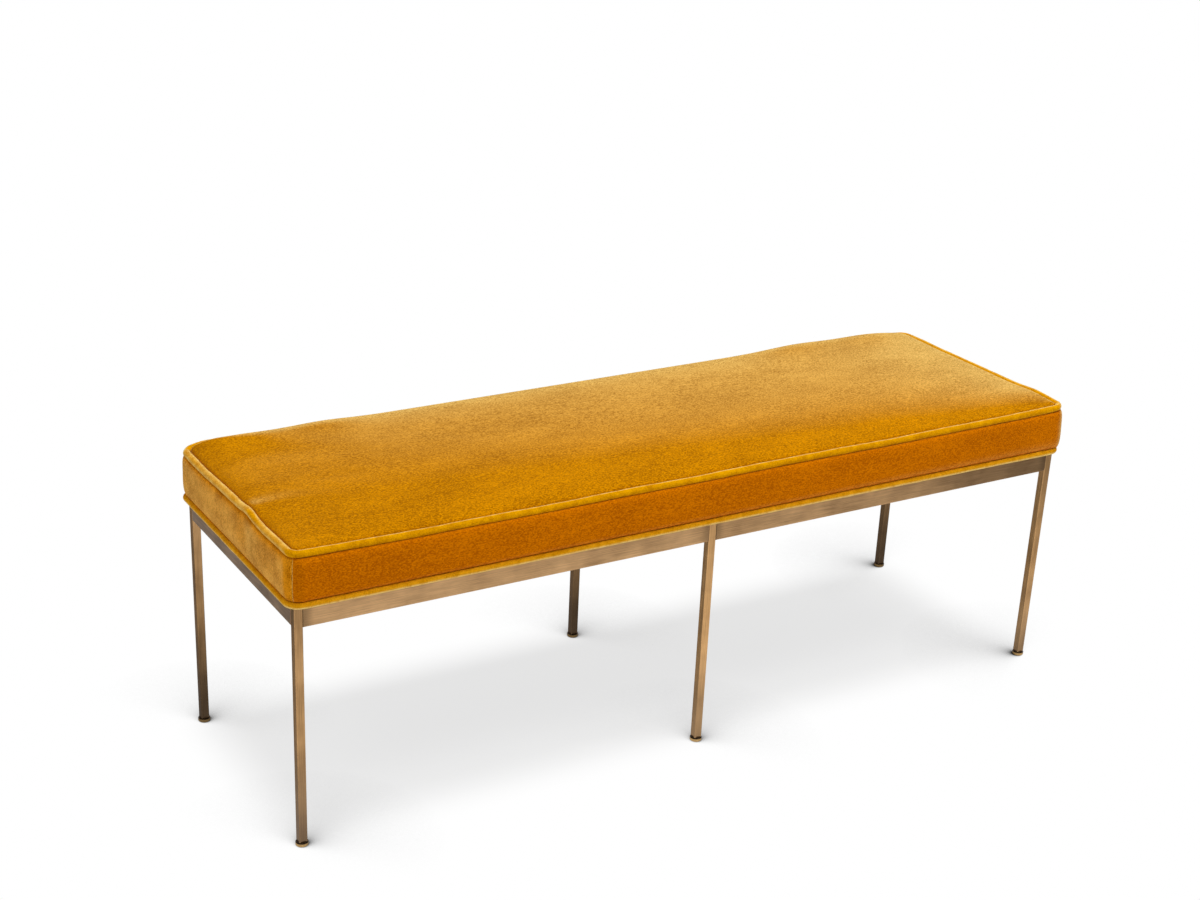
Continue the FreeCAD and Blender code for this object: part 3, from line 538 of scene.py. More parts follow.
ply_finish = plain_finish("plywood", (0.36, 0.22, 0.11), (0.62, 0.44, 0.26), 6 * MM, 0.7,
                          (0.06, 1.0, 3.0))
pad_finish = plain_finish("floor_pad", (0.020, 0.014, 0.010), (0.035, 0.026, 0.018), 1 * MM, 0.6)
cloth_finish = plain_finish("black_cloth", (0.010, 0.010, 0.010), (0.030, 0.030, 0.030), 0.8 * MM,
                            0.95)
foam_finish = plain_finish("foam", (0.70, 0.64, 0.44), (0.86, 0.80, 0.60), 2 * MM, 0.9)
wadding_finish = plain_finish("wadding", (0.74, 0.72, 0.68), (0.90, 0.89, 0.86), 8 * MM, 0.95)
cord_finish = plain_finish("cord", (0.62, 0.56, 0.46), (0.84, 0.80, 0.72), 1.5 * MM, 0.9)
print("materials:", len(bpy.data.materials))

# %% [markdown]
# ## Finish the CAD nodes
#
# Every node of the frame keeps its shape and gets its material through its slots. The names tell
# which is which: the first start of a name that fits decides.

# %% Give each node its finish
# Two front legs take the lit copy of the leg brass and the end and cross rails a darker, greyer brass:
# painted light and shade.
NODE_FINISHES = (
    ("leg_front_middle", lit_leg_finish), ("leg_front_right", lit_leg_finish),
    ("leg_", leg_finish), ("rail_end", shaded_end_finish), ("cross_rail", shaded_end_finish),
    ("rail_", rail_finish), ("glide_pad", pad_finish), ("glide_", glide_finish),
    ("insert_", steel_finish), ("tab_", tab_finish), ("seat_screws", zinc_finish),
    ("washers", zinc_finish), ("tee_nuts", zinc_finish), ("staples", zinc_finish),
    ("seat_board", ply_finish), ("foam_core", foam_finish), ("top_welt_cord", cord_finish),
    ("bottom_welt_cord", cord_finish),
)
finished = 0
for name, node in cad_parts.items():
    finish = next((finish for start, finish in NODE_FINISHES if name.startswith(start)), None)
    if finish:
        give_finish(node, finish)
        finished += 1
print("nodes with a finish:", finished)

# %% [markdown]
# ## The cover
#
# The cover is sewn from a top panel and four side panels, called boxing, turned under the board
# at the bottom and stretched over the filling. It could be simulated from flat panels, but a box
# cushion this firm hardly moves: it is quicker and truer to start near the final form and to let
# cloth simulation only swell it. Its outer face is one list of rows, from the hem under the board,
# up the boxing and into the groove under the top welt. A row has an overhang, which is how far it
# stands outside the board's edge, and a height.

# %% Rows up the side of the cover
FABRIC = 2.0 * MM
HEM_REACH = 20 * MM
SLACK = 0.3 * MM
OCTAGON = math.sqrt(2) - 1
BULGE = 5.0 * MM
BOXING_SHARES = ((0, 0), (0.04, 0.32), (0.10, 0.64), (0.20, 0.88), (0.35, 1.01), (0.50, 0.99),
                 (0.65, 1.00), (0.78, 1.02), (0.89, 0.90), (0.96, 0.60), (1, 0))

low_clear = LOW_WELT_RADIUS + SLACK
top_clear = TOP_WELT_RADIUS + SLACK
HEM_HEIGHT = board_low.z - FABRIC


def by_low_welt(out_share, up_share):
    """A place beside the lower welt, in shares of the radius that keeps the cloth clear of it."""
    return LOW_WELT_OUT + out_share * low_clear, LOW_WELT_HEIGHT + up_share * low_clear


def by_top_welt(out_share, up_share):
    return TOP_WELT_OUT + out_share * top_clear, TOP_WELT_HEIGHT + up_share * top_clear


GROOVE_OUT, GROOVE_HIGH = by_top_welt(-1, OCTAGON)
side_foot = by_low_welt(0, 1.02)
side_head = by_top_welt(0.82, -0.57)

rows = [(-HEM_REACH, HEM_HEIGHT), (-HEM_REACH / 2, HEM_HEIGHT), (0.8 * FABRIC, HEM_HEIGHT)]
rows.append((LOW_WELT_OUT - low_clear, HEM_HEIGHT + FABRIC / 2))
rows += [by_low_welt(-1, OCTAGON), by_low_welt(-0.60, 0.88)]
FOOT_ROW = len(rows)
for rise, swell in BOXING_SHARES:
    overhang = side_foot[0] + (side_head[0] - side_foot[0]) * rise + BULGE * swell
    rows.append((overhang, side_foot[1] + (side_head[1] - side_foot[1]) * rise))
HEAD_ROW = len(rows) - 1
rows += [by_top_welt(OCTAGON, -0.93), by_top_welt(-OCTAGON, -0.95)]
SEAM_ROW = len(rows)
rows += [by_top_welt(-0.75, -0.75), by_top_welt(-1, 0), by_top_welt(-1, OCTAGON)]
print("side rows:", len(rows), "top seam at row", SEAM_ROW)

# %% [markdown]
# The start is a box with one level of its height for each row. Its four upright edges are
# bevelled to the corner's radius, in eight steps, so that one column of points stands exactly on
# the diagonal, where two side panels are sewn together.

# %% Start with a box with rounded corners
RIM_X, RIM_Y = HALF_X + GROOVE_OUT, HALF_Y + GROOVE_OUT
RIM_CORNER = BOARD_CORNER + GROOVE_OUT
LEVEL = 6 * MM
CORNER_STEPS = 8
box_height = LEVEL * (len(rows) - 1)

cover = add_start(bpy.ops.mesh.primitive_cube_add, "cover", (0, 0, box_height / 2),
                  (2 * RIM_X, 2 * RIM_Y, box_height))


def stands(edge):
    first, second = (cover.data.vertices[index].co for index in edge.vertices)
    return abs(first.z - second.z) > abs(first.x - second.x) + abs(first.y - second.y)


pick(cover, "EDGE", stands)
bpy.ops.mesh.bevel(offset=RIM_CORNER, segments=CORNER_STEPS, affect="EDGES", offset_type="OFFSET")
leave_edit()
pick(cover, "FACE", lambda face: face.normal.z < -0.9)
bpy.ops.mesh.delete(type="FACE")
leave_edit()
print("box:", len(cover.data.polygons), "faces")

# %% [markdown]
# Insets on the top face make rings that follow the rounded rim, where the cloth bends most.
# Bisecting planes then cut the grid: even steps along X and Y, and one cut for each row.

# %% Cut the grid
GRID = 9 * MM
RING_STEPS = (1.2 * MM, 1.8 * MM, 2.2 * MM, 2.2 * MM, 2.0 * MM)

pick(cover, "FACE", lambda face: face.normal.z > 0.9)
for step in RING_STEPS:
    bpy.ops.mesh.inset(thickness=step, depth=0, use_even_offset=True)
leave_edit()


def slice_at(point, normal):
    bpy.ops.mesh.select_all(action="SELECT")
    bpy.ops.mesh.bisect(plane_co=point, plane_no=normal)


def slice_evenly(half_x, half_y, step, first):
    """Cuts across X and Y in steps of about that size, leaving out the first few at each end."""
    for half, axis in ((half_x, Vector((1, 0, 0))), (half_y, Vector((0, 1, 0)))):
        count = round(2 * half / step)
        for index in range(first, count + 1 - first):
            slice_at(axis * (-half + index * 2 * half / count), axis)


only(cover)
bpy.ops.object.mode_set(mode="EDIT")
for level in range(1, len(rows) - 1):
    slice_at((0, 0, LEVEL * level), (0, 0, 1))
slice_evenly(RIM_X - RIM_CORNER, RIM_Y - RIM_CORNER, GRID, 0)
leave_edit()
print("grid:", len(cover.data.vertices), "points")

# %% [markdown]
# Five materials mark the five panels while the box is still square. Later, separating by material
# cuts the cover into pieces that meet exactly, as sewn panels do.

# %% Mark the panels
PANELS = ("top_fabric", "side_fabric_front", "side_fabric_right", "side_fabric_back",
          "side_fabric_left")


def panel_of(face):
    """0 on top, and 1 to 4 for the front, right, back and left side."""
    if face.normal.z > 0.9:
        return 0
    past_x = abs(face.center.x) - (RIM_X - RIM_CORNER)
    past_y = abs(face.center.y) - (RIM_Y - RIM_CORNER)
    if past_y > past_x:
        return 1 if face.center.y < 0 else 3
    return 2 if face.center.x > 0 else 4


markers = [bpy.data.materials.new(name) for name in PANELS]
for marker in markers:
    cover.data.materials.append(marker)
for face in cover.data.polygons:
    face.material_index = panel_of(face)
indices = [face.material_index for face in cover.data.polygons]
print("faces of each panel:", [indices.count(panel) for panel in range(len(PANELS))])

# %% [markdown]
# The top seam isn't straight: on the real cushion it wanders by a few millimetres, most at the
# left end, where it rises and dips twice, and the corners stand at different heights. The wander is
# a sum of soft bumps, given as shares of each side's length. It fades towards the middle of the top,
# and down the sides towards the straight lower welt.

# %% The wander of the top seam
# Middle and width of each bump, both as shares of the side, and its size in millimetres
FRONT_BUMPS = ((0.14, 0.06, -1.2), (0.29, 0.07, -1.6), (0.47, 0.06, -1.3), (0.74, 0.05, -1.2))
BACK_BUMPS = ((0.020, 0.020, 4.6), (0.05, 0.035, 4.5), (0.10, 0.04, 1.3), (0.155, 0.042, 4.0),
              (0.812, 0.055, 6.0), (0.925, 0.06, 5.2))
LEFT_BUMPS = ((0.80, 0.12, -2.0), (0.50, 0.10, 1.0), (0.37, 0.055, 4.2), (0.22, 0.06, -0.9))
RIGHT_BUMPS = ((0.145, 0.12, 4.6), (0.40, 0.12, 1.0), (0.75, 0.10, -1.0))
FRONT_RISE = (2.5, 2.2)
BACK_RISE = (-4.5, -4.5)
WANDER_REACH = 32 * MM
CORNER_REACH = 70 * MM


def bumps(share, table):
    return MM * sum(size * math.exp(-((share - middle) / width) ** 2) for middle, width, size in table)


def seam_wander(x, y):
    """How far the corners raise a point, and how far its side's bumps do."""
    along_x = min(max((x + RIM_X) / (2 * RIM_X), 0), 1)
    along_y = min(max((y + RIM_Y) / (2 * RIM_Y), 0), 1)
    ripple = 0
    for gap, share, table in (
        (y + RIM_Y, along_x, FRONT_BUMPS), (RIM_Y - y, along_x, BACK_BUMPS),
        (x + RIM_X, along_y, LEFT_BUMPS), (RIM_X - x, along_y, RIGHT_BUMPS),
    ):
        ripple += bumps(share, table) * math.exp(-max(gap, 0) / WANDER_REACH)
    corner = 0
    for far_x, far_y, rise in (
        (x + RIM_X, y + RIM_Y, FRONT_RISE[0]), (RIM_X - x, y + RIM_Y, FRONT_RISE[1]),
        (x + RIM_X, RIM_Y - y, BACK_RISE[0]), (RIM_X - x, RIM_Y - y, BACK_RISE[1]),
    ):
        corner += rise * MM * math.exp(-math.hypot(far_x, far_y) / CORNER_REACH)
    return corner, ripple


print("left end, a third of the way back: %.1f mm" % (sum(seam_wander(-RIM_X, -RIM_Y / 3)) / MM))

# %% [markdown]
# Each point of the box now goes to its place. A point on the side keeps its place round the
# outline and takes the overhang, height and corner radius of its row: the corners are tighter at
# the top. A point on the top keeps its place too, and its distances from the four sides give its
# height. The crown leaves the welt flat and rises long and gently, but stands full along the back.
#
# The column on each corner's diagonal is drawn in, because stitches pull the seam into the filling.
# The filling isn't quite even either: both ends lean by a millimetre or two, and the right one
# stands out at its foot, with a tight corner. The two attributes for the velvet are painted at the
# same time: "seam" with painted shade for the creases beside the welts and round the corners, and the
# fuzz attribute with a painted highlight along the upright corner seams.

# %% Places on the rounded outline
HEM_CORNER = 0.6 * MM
LOW_CORNER, TOP_CORNER = 12.5 * MM, 10.5 * MM


def clamp(value, limit):
    return max(-limit, min(limit, value))


def rim_place(x, y):
    """The nearest point of the inner rectangle, the way out of it, and the distance to the rim."""
    inner = Vector((clamp(x, RIM_X - RIM_CORNER), clamp(y, RIM_Y - RIM_CORNER)))
    outside = Vector((x, y)) - inner
    if outside.length > 1e-7:
        return inner, outside.normalized(), RIM_CORNER - outside.length
    gap_x, gap_y = RIM_X - abs(x), RIM_Y - abs(y)
    return inner, Vector((0, 0)), min(gap_x, gap_y)


def offset_place(x, y, overhang, corner):
    """Where a point of the rim lies on the outline with another overhang and corner radius."""
    inner, way, _ = rim_place(x, y)
    corner = max(corner, HEM_CORNER)
    stretch_x = (HALF_X + overhang - corner) / (RIM_X - RIM_CORNER)
    stretch_y = (HALF_Y + overhang - corner) / (RIM_Y - RIM_CORNER)
    return Vector((inner.x * stretch_x, inner.y * stretch_y)) + way * corner


print("corners: %.1f mm at the foot, %.1f mm at the top" % (LOW_CORNER / MM, TOP_CORNER / MM))

# %% The crown of the top
CROWN = PANEL_HIGH - GROOVE_HIGH
LIP_SHARE, LIP_REACH = 0.17, 1.5 * MM
SHOULDER = ((0.3, 18 * MM), (0.7, 90 * MM))
BACK_REACH, CORNER_FULL_REACH = 5.8 * MM, 40 * MM
LEFT_FULL, RIGHT_FULL = 0.95, 0.6


def settles(distance, *terms):
    """Runs from 0 at the edge to 1 inside, as a sum of (share, reach) terms."""
    return 1 - sum(share * math.exp(-max(distance, 0) / reach) for share, reach in terms)


def crown_height(x, y, depth):
    """The height above the groove. The back rises steeply, and so do the ends close to it."""
    from_back = RIM_Y - y
    spread = settles(from_back, (1.0, BACK_REACH))
    from_left = (x + RIM_X) / settles(from_back, (LEFT_FULL, CORNER_FULL_REACH))
    from_right = (RIM_X - x) / settles(from_back, (RIGHT_FULL, CORNER_FULL_REACH))
    for distance in (y + RIM_Y, from_left, from_right):
        spread *= settles(distance, *SHOULDER)
    return CROWN * (LIP_SHARE * settles(depth, (1.0, LIP_REACH)) + (1 - LIP_SHARE) * spread)


print("crown: %.1f mm above the groove" % (CROWN / MM))

# %% Shape the cover
SEAM_DRAW = 0.7 * MM
LEFT_LEAN, RIGHT_LEAN, END_TUCK = 0.8 * MM, 1.8 * MM, 1.2 * MM
RIGHT_LOW_CORNER, RIGHT_FOOT = 6.0 * MM, 2.2 * MM
PIN_REACH, SEAM_SHADE_REACH = 3 * MM, 1.8 * MM
BESIDE_SEAM_SHADE = 0.4
TOUCH, SAME_WAY = 0.05 * MM, 0.02


def end_lean(x, share):
    """How far the sides move along X. The share runs from 0 at their foot to 1 at the top seam."""
    tuck = END_TUCK * math.sin(math.pi * share ** 2)
    if x <= 0:
        return LEFT_LEAN * math.sin(math.pi * share) + tuck
    return RIGHT_LEAN * math.sin(math.pi * (1 - share) ** 2) + RIGHT_FOOT * (1 - share) ** 3 - tuck


pins, seam_shades, fuzz_highlights = [], [], []
for point in cover.data.vertices:
    x, y, z = point.co
    corner_rise, ripple = seam_wander(x, y)
    level = round(z / LEVEL)
    _, way, depth = rim_place(x, y)
    on_diagonal = way.length > 0 and abs(abs(way.x) - abs(way.y)) < SAME_WAY
    if level == len(rows) - 1 and depth > TOUCH:
        height = GROOVE_HIGH + crown_height(x, y, depth) + corner_rise + ripple
        place = Vector((x, y))
        if depth < RIM_CORNER - TOUCH:
            corner = (TOP_CORNER + GROOVE_OUT) * (1 - depth / RIM_CORNER)
            place = offset_place(x, y, GROOVE_OUT - depth, corner)
        point.co = (place.x, place.y, height)
        pins.append(math.exp(-depth / PIN_REACH))
        # Painted shade in the crease beside the top welt.
        seam_shades.append(max(1 - depth / SEAM_SHADE_REACH, 0))
        fuzz_highlights.append(0.0)
    else:
        overhang, height = rows[level]
        share = min(max((level - FOOT_ROW) / (SEAM_ROW - FOOT_ROW), 0), 1)
        drawn = SEAM_DRAW if on_diagonal and 0 < share < 1 else 0
        overhang -= drawn + 0.5 * ripple * math.sin(math.pi * share)
        low_corner = RIGHT_LOW_CORNER if x > 0 else LOW_CORNER
        corner = TOP_CORNER + (low_corner - TOP_CORNER) * (1 - share) ** 3
        place = offset_place(x, y, overhang, corner + overhang)
        height += (corner_rise + ripple) * share ** 1.6
        point.co = (place.x + end_lean(x, share), place.y, height)
        pins.append(1.0 if level <= FOOT_ROW or level >= SEAM_ROW - 1 else 0.0)
        # Painted shade: full in the creases beside both welts, a little round the corners beside their
        # seams.
        in_corner = min(abs(way.x), abs(way.y)) > SAME_WAY
        beside_seam_shade = BESIDE_SEAM_SHADE if in_corner and not on_diagonal else 0.0
        seam_shades.append(1.0 if level <= FOOT_ROW or level >= HEAD_ROW else beside_seam_shade)
        fuzz_highlights.append(1.0 if on_diagonal and FOOT_ROW < level < HEAD_ROW else 0.0)
cover.data.update()
# Both attributes paint light into the velvet: the seam one shade, the fuzz one highlights.
for label, values in (("seam", seam_shades), ("fuzz_highlight", fuzz_highlights)):
    cover.data.attributes.new(label, "FLOAT", "POINT").data.foreach_set("value", values)
print("cover: %d points, %d of them held" % (len(pins), pins.count(1.0)))

# %% [markdown]
# The pinned rows hold the seams, and a little air pressure swells the panels between them, as
# filling does. Gravity is off, because a cushion this firm carries its own cover. All moves are
# scaled down together, so that none is longer than two millimetres and the swell stays smooth.

# %% Swell the cover by cloth simulation
MOST_SWELL = 2 * MM
SWELL_FRAMES = 20

held = cover.vertex_groups.new(name="held")
for index, weight in enumerate(pins):
    held.add([index], weight, "REPLACE")
before = [point.co.copy() for point in cover.data.vertices]
only(cover)
bpy.ops.object.modifier_add(type="CLOTH")
cloth = cover.modifiers[-1]
cloth.settings.quality = 6
cloth.settings.mass = 0.05
cloth.settings.tension_stiffness = 25
cloth.settings.compression_stiffness = 15
cloth.settings.bending_stiffness = 2
cloth.settings.use_pressure = True
cloth.settings.uniform_pressure_force = 0.6
cloth.settings.effector_weights.gravity = 0
cloth.settings.vertex_group_mass = held.name
cloth.collision_settings.use_collision = False
cloth.point_cache.frame_start = 1
cloth.point_cache.frame_end = SWELL_FRAMES
for step in range(1, SWELL_FRAMES + 1):
    bpy.context.scene.frame_set(step)
bpy.ops.object.modifier_apply(modifier=cloth.name)
bpy.context.scene.frame_set(1)
moves = [point.co - start for point, start in zip(cover.data.vertices, before)]
sizes = sorted(move.length for move in moves)
print("cloth moved %.1f mm in the middle of the range, at most %.1f mm" % (
    sizes[len(sizes) // 2] / MM, sizes[-1] / MM))
for point, start, move in zip(cover.data.vertices, before, moves):
    point.co = start + move * min(1, MOST_SWELL / sizes[-1])
cover.vertex_groups.clear()

# %% [markdown]
# Batting lies between the cover and the foam. A copy of the cover, taken before it is cut up and
# made a little smaller and lower, follows each ripple at a steady gap.

# %% Batting under the cover
BATTING_THICK = 5 * MM
BATTING_GAP = FABRIC + 1.0 * MM

only(cover)
bpy.ops.object.duplicate()
batting = bpy.context.object
batting.name = "batting"
give_finish(batting, wadding_finish)
pick(batting, "FACE", lambda face: face.center.z < board_high.z)
bpy.ops.mesh.delete(type="FACE")
bpy.ops.mesh.select_all(action="SELECT")
bpy.ops.transform.resize(value=(1 - BATTING_GAP / HALF_X, 1 - BATTING_GAP / HALF_Y, 1),
                         center_override=(0, 0, 0))
bpy.ops.transform.translate(value=(0, 0, -BATTING_GAP))
leave_edit()
smooth_faces(batting)
add_wall(batting, BATTING_THICK)
apply_all(batting)
print("batting:", len(batting.data.polygons), "faces")

# %% [markdown]
# The cover comes apart by material. Each panel is then smoothed by one subdivision and gets its
# cloth thickness inwards, so that its outer face stays where it is.

# %% Separate and thicken the panels
only(cover)
bpy.ops.object.mode_set(mode="EDIT")
bpy.ops.mesh.select_all(action="SELECT")
bpy.ops.mesh.separate(type="MATERIAL")
leave_edit()
PANEL_FINISHES = (velvet_top_finish, velvet_side_finish, velvet_end_finish, velvet_side_finish,
                  velvet_end_finish)
fabric = {}
for part in list(bpy.context.selected_objects):
    marker = part.data.materials[part.data.polygons[0].material_index]
    panel = markers.index(marker)
    part.name = PANELS[panel]
    fabric[panel] = part
    give_finish(part, PANEL_FINISHES[panel])
    smooth_faces(part)
    smooth = part.modifiers.new("smooth", "SUBSURF")
    smooth.levels = smooth.render_levels = 1
    add_wall(part, FABRIC)
    apply_all(part)
    print(part.name, len(part.data.polygons), "faces")

# %% [markdown]
# ## Welts
#
# A welt is a strip of the same velvet sewn round a cord. It follows the seam, so its path takes the
# same wander. The path starts as a flat rectangle whose corners are bevelled as points, keeps
# only its edges, becomes a curve with a round bevel, and then a mesh. Three slow waves vary its
# radius a little along the way, which keeps it from looking moulded.

# %% Paths round the cushion
WELT_STEP = 7 * MM
# Height of each wave, its turn at each point of the path and its start
WAVES = ((1.0, 0.61, 0), (0.7, 0.23, 1), (0.5, 1.37, 2))


def rounded_plane(name, half_x, half_y, height, corner):
    """A rectangle with rounded corners, left in edit mode with all of it selected."""
    plane = add_start(bpy.ops.mesh.primitive_plane_add, name, (0, 0, height),
                      (2 * half_x, 2 * half_y, 1))
    bpy.ops.object.mode_set(mode="EDIT")
    bpy.ops.mesh.select_all(action="SELECT")
    bpy.ops.mesh.bevel(offset=corner, segments=CORNER_STEPS, affect="VERTICES",
                       offset_type="OFFSET")
    bpy.ops.mesh.select_all(action="SELECT")
    return plane


def ring_path(name, out, height, corner, follows_seam):
    """A closed line round the cushion at that overhang, as an object with only edges."""
    half_x, half_y, corner = HALF_X + out, HALF_Y + out, corner + out
    ring = rounded_plane(name, half_x, half_y, 0, corner)
    bpy.ops.mesh.delete(type="ONLY_FACE")
    slice_evenly(half_x - corner, half_y - corner, WELT_STEP, 1)
    leave_edit()
    for point in ring.data.vertices:
        x, y, _ = point.co
        rise = sum(seam_wander(x * RIM_X / half_x, y * RIM_Y / half_y)) if follows_seam else 0
        point.co.z = height + rise
    return ring


def round_cord(ring, radius, resolution, unevenness, finish):
    """Turns a ring of edges into a round cord of that radius."""
    only(ring)
    bpy.ops.object.convert(target="CURVE")
    curve = ring.data
    curve.bevel_depth = radius
    curve.bevel_resolution = resolution
    for spline in curve.splines:
        for index, point in enumerate(spline.points):
            wave = sum(size * math.sin(index * turn + start) for size, turn, start in WAVES)
            point.radius = 1 + unevenness * wave / sum(size for size, _, _ in WAVES)
    bpy.ops.object.convert(target="MESH")
    bpy.ops.object.mode_set(mode="EDIT")
    bpy.ops.mesh.select_all(action="SELECT")
    bpy.ops.mesh.remove_doubles(threshold=0.00001)
    bpy.ops.mesh.normals_make_consistent(inside=False)
    leave_edit()
    give_finish(ring, finish)
    smooth_faces(ring)
    return ring


# %% [markdown]
# The top welt follows the wandering seam. The cord inside it never shows, but it belongs to the
# piece, so it is swept along the same path, thinner by the cloth round it.

# %% Top welt and its cord
CORD_SHARE = 0.61
top_path = (TOP_WELT_OUT, TOP_WELT_HEIGHT, TOP_CORNER, True)
top_piping = round_cord(ring_path("top_piping", *top_path),
                        TOP_WELT_RADIUS, 5, 0.05, velvet_welt_finish)
top_cord = round_cord(ring_path("top_piping_cord", *top_path),
                      CORD_SHARE * TOP_WELT_RADIUS, 2, 0.02, cord_finish)
print("top piping:", len(top_piping.data.polygons), "faces")

# %% [markdown]
# The bottom welt keeps its flat tail, which is stapled up under the board, so its casing is the
# round part joined to a thin flat ring. It lies straight along the rail.

# %% Bottom welt, its tail and its cord
TAIL_REACH = 18 * MM
TAIL_THICK = 1.5 * MM


def flat_ring(name, out, reach_in, height, thick, finish):
    """A flat strip round the board, from that overhang inwards, with its lower face that high."""
    strip = rounded_plane(name, HALF_X + out, HALF_Y + out, height + thick, LOW_CORNER + out)
    bpy.ops.mesh.inset(thickness=out + reach_in, depth=0, use_even_offset=True)
    bpy.ops.mesh.delete(type="FACE")
    leave_edit()
    add_wall(strip, thick)
    apply_all(strip)
    give_finish(strip, finish)
    return strip


low_path = (LOW_WELT_OUT, LOW_WELT_HEIGHT, LOW_CORNER, False)
bottom_piping = round_cord(ring_path("bottom_piping", *low_path),
                           LOW_WELT_RADIUS, 5, 0.05, lit_low_welt_finish)
tail = flat_ring("tail", LOW_WELT_OUT, TAIL_REACH, HEM_HEIGHT - TAIL_THICK, TAIL_THICK,
                 lit_low_welt_finish)
only(bottom_piping)
tail.select_set(True)
bpy.ops.object.join()
bottom_cord = round_cord(ring_path("bottom_piping_cord", *low_path),
                         CORD_SHARE * LOW_WELT_RADIUS, 2, 0.02, cord_finish)
print("bottom piping:", len(bottom_piping.data.polygons), "faces")

# %% [markdown]
# ## Dust cloth
#
# A thin black cloth closes the bottom of the seat. It is stretched and stapled at its rim and
# sags a little in each bay between the end rails and the cross rail.

# %% Dust cloth under the board
cloth_low, cloth_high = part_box("dust_cover")
CLOTH_SIZE = (cloth_high.x - cloth_low.x, cloth_high.y - cloth_low.y)
CLOTH_THICK = 0.4 * MM
CLOTH_SAG = 2.5 * MM
BAY_RIM = 45 * MM
bay_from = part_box("cross_rail")[1].x
BAY_X, BAY_Y = (cloth_high.x - bay_from) / 2 - BAY_RIM, cloth_high.y - BAY_RIM


def sag_share(past, span):
    """Runs from 0 at a bay's rim to 1 in its middle."""
    return math.sin(math.pi / 2 * min(max(past, 0) / span, 1))


dust_cloth = add_start(bpy.ops.mesh.primitive_grid_add, "dust_cloth", (0, 0, cloth_high.z),
                       (*CLOTH_SIZE, 1), x_subdivisions=88, y_subdivisions=26)
for point in dust_cloth.data.vertices:
    x, y, _ = point.co
    past_x = min(cloth_high.x - abs(x), abs(x) - bay_from) - BAY_RIM
    past_y = cloth_high.y - abs(y) - BAY_RIM
    point.co.z -= CLOTH_SAG * sag_share(past_x, BAY_X) * sag_share(past_y, BAY_Y)
add_wall(dust_cloth, CLOTH_THICK)
apply_all(dust_cloth)
give_finish(dust_cloth, cloth_finish)
smooth_faces(dust_cloth)
print("dust cloth sags %.1f mm" % (CLOTH_SAG / MM))

# %% [markdown]
# ## Put each piece in place of its solids
#
# Each new piece rides on the fixed body, and the plain solids that held its place are hidden.

# %% Attach the pieces and hide their solids
for piece, node, finish_slot in (
    (fabric[0], "top_panel", "velvet_top"), (fabric[1], "boxing_front", "velvet_side"),
    (fabric[2], "boxing_right", "velvet_side"), (fabric[3], "boxing_back", "velvet_side"),
    (fabric[4], "boxing_left", "velvet_side"), (top_piping, "top_welt", "velvet_welt"),
    (top_cord, "top_welt_cord", "welt_cord"), (bottom_piping, "bottom_welt", "velvet_welt"),
    (bottom_cord, "bottom_welt_cord", "welt_cord"), (batting, "batting_wrap", "batting"),
    (dust_cloth, "dust_cover", "black_cloth"),
):
    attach(piece, "frame")
    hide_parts(node)
    print(piece.name, "replaces", node)

# %% [markdown]
# ## Camera
#
# The camera stands where the photograph was taken, found by fitting the ends of the six legs. It
# looks along a direction given by a turn about the vertical and a fall below the horizon, with a
# small roll and a little lens shift.

# %% Camera
CAMERA_PLACE = (-1.58222, -2.47208, 1.60479)
CAMERA_TURN, CAMERA_FALL, CAMERA_ROLL = (math.radians(angle) for angle in (31.763, 24.852, 2.826))
SENSOR_MM, LENS_MM = 36, 60.314
LENS_SHIFT = (-0.00945, 0.08333)

camera_data = bpy.data.cameras.new("camera")
camera_data.sensor_width = SENSOR_MM
camera_data.lens = LENS_MM
camera_data.shift_x, camera_data.shift_y = LENS_SHIFT
camera = bpy.data.objects.new("camera", camera_data)
bpy.context.scene.collection.objects.link(camera)
forward = Vector((math.sin(CAMERA_TURN) * math.cos(CAMERA_FALL),
                  math.cos(CAMERA_TURN) * math.cos(CAMERA_FALL), -math.sin(CAMERA_FALL)))
right = forward.cross(Vector((0, 0, 1))).normalized()
up = right.cross(forward)
roll_cos, roll_sin = math.cos(CAMERA_ROLL), math.sin(CAMERA_ROLL)
axis_x = right * roll_cos + up * roll_sin
axis_y = up * roll_cos - right * roll_sin
turned = Matrix((axis_x, axis_y, -forward)).transposed().to_4x4()
camera.matrix_world = Matrix.Translation(CAMERA_PLACE) @ turned
bpy.context.scene.camera = camera
print("camera %.2f m from the bench" % Vector(CAMERA_PLACE).length)

# %% [markdown]
# ## Floor and light
#
# The floor is a wide white plane. Seen directly or in the metal it is lifted towards pure white,
# fully outside the bench's footprint, while the soft shadow under the bench stays. In the metal it
# dims towards the front right and behind the bench, as the dark ends of a studio do, so that the
# brass has something dark to show. An ambient occlusion with a short reach, aimed at the nearer of
# the two front lamps, darkens the floor beside each foot on the side that the lamp doesn't reach.

# %% Floor
FLOOR_HALF = 12
SHADE_HALF_X, SHADE_HALF_Y, SHADE_BACK = 0.60, 0.13, 0.02
FLOOR_FADE, FLOOR_LIFT = 0.13, 0.71
SWEEP_DIMS, SWEEP_SPAN, SWEEP_SLOPE = 0.85, (1.0, 2.9), 1.2
BEHIND_DIMS, BEHIND_SPAN = 0.75, (-0.40, 0.10)
CONTACT_REACH, CONTACT_SHADE = 0.20, 2.2
TO_LEFT_LAMP, TO_RIGHT_LAMP = (-0.72, -0.62, 0.3), (0.48, -0.82, 0.3)
LAMP_CHANGE = (0.3, 0.5)


def seen_share(tree, rays):
    """1 for rays from the camera, off metal or through glass, and 0 for light on its way."""
    seen = calculate(tree, "ADD", rays.outputs["Is Camera Ray"], rays.outputs["Is Glossy Ray"])
    return calculate(tree, "ADD", seen, rays.outputs["Is Transmission Ray"], clamp=True)


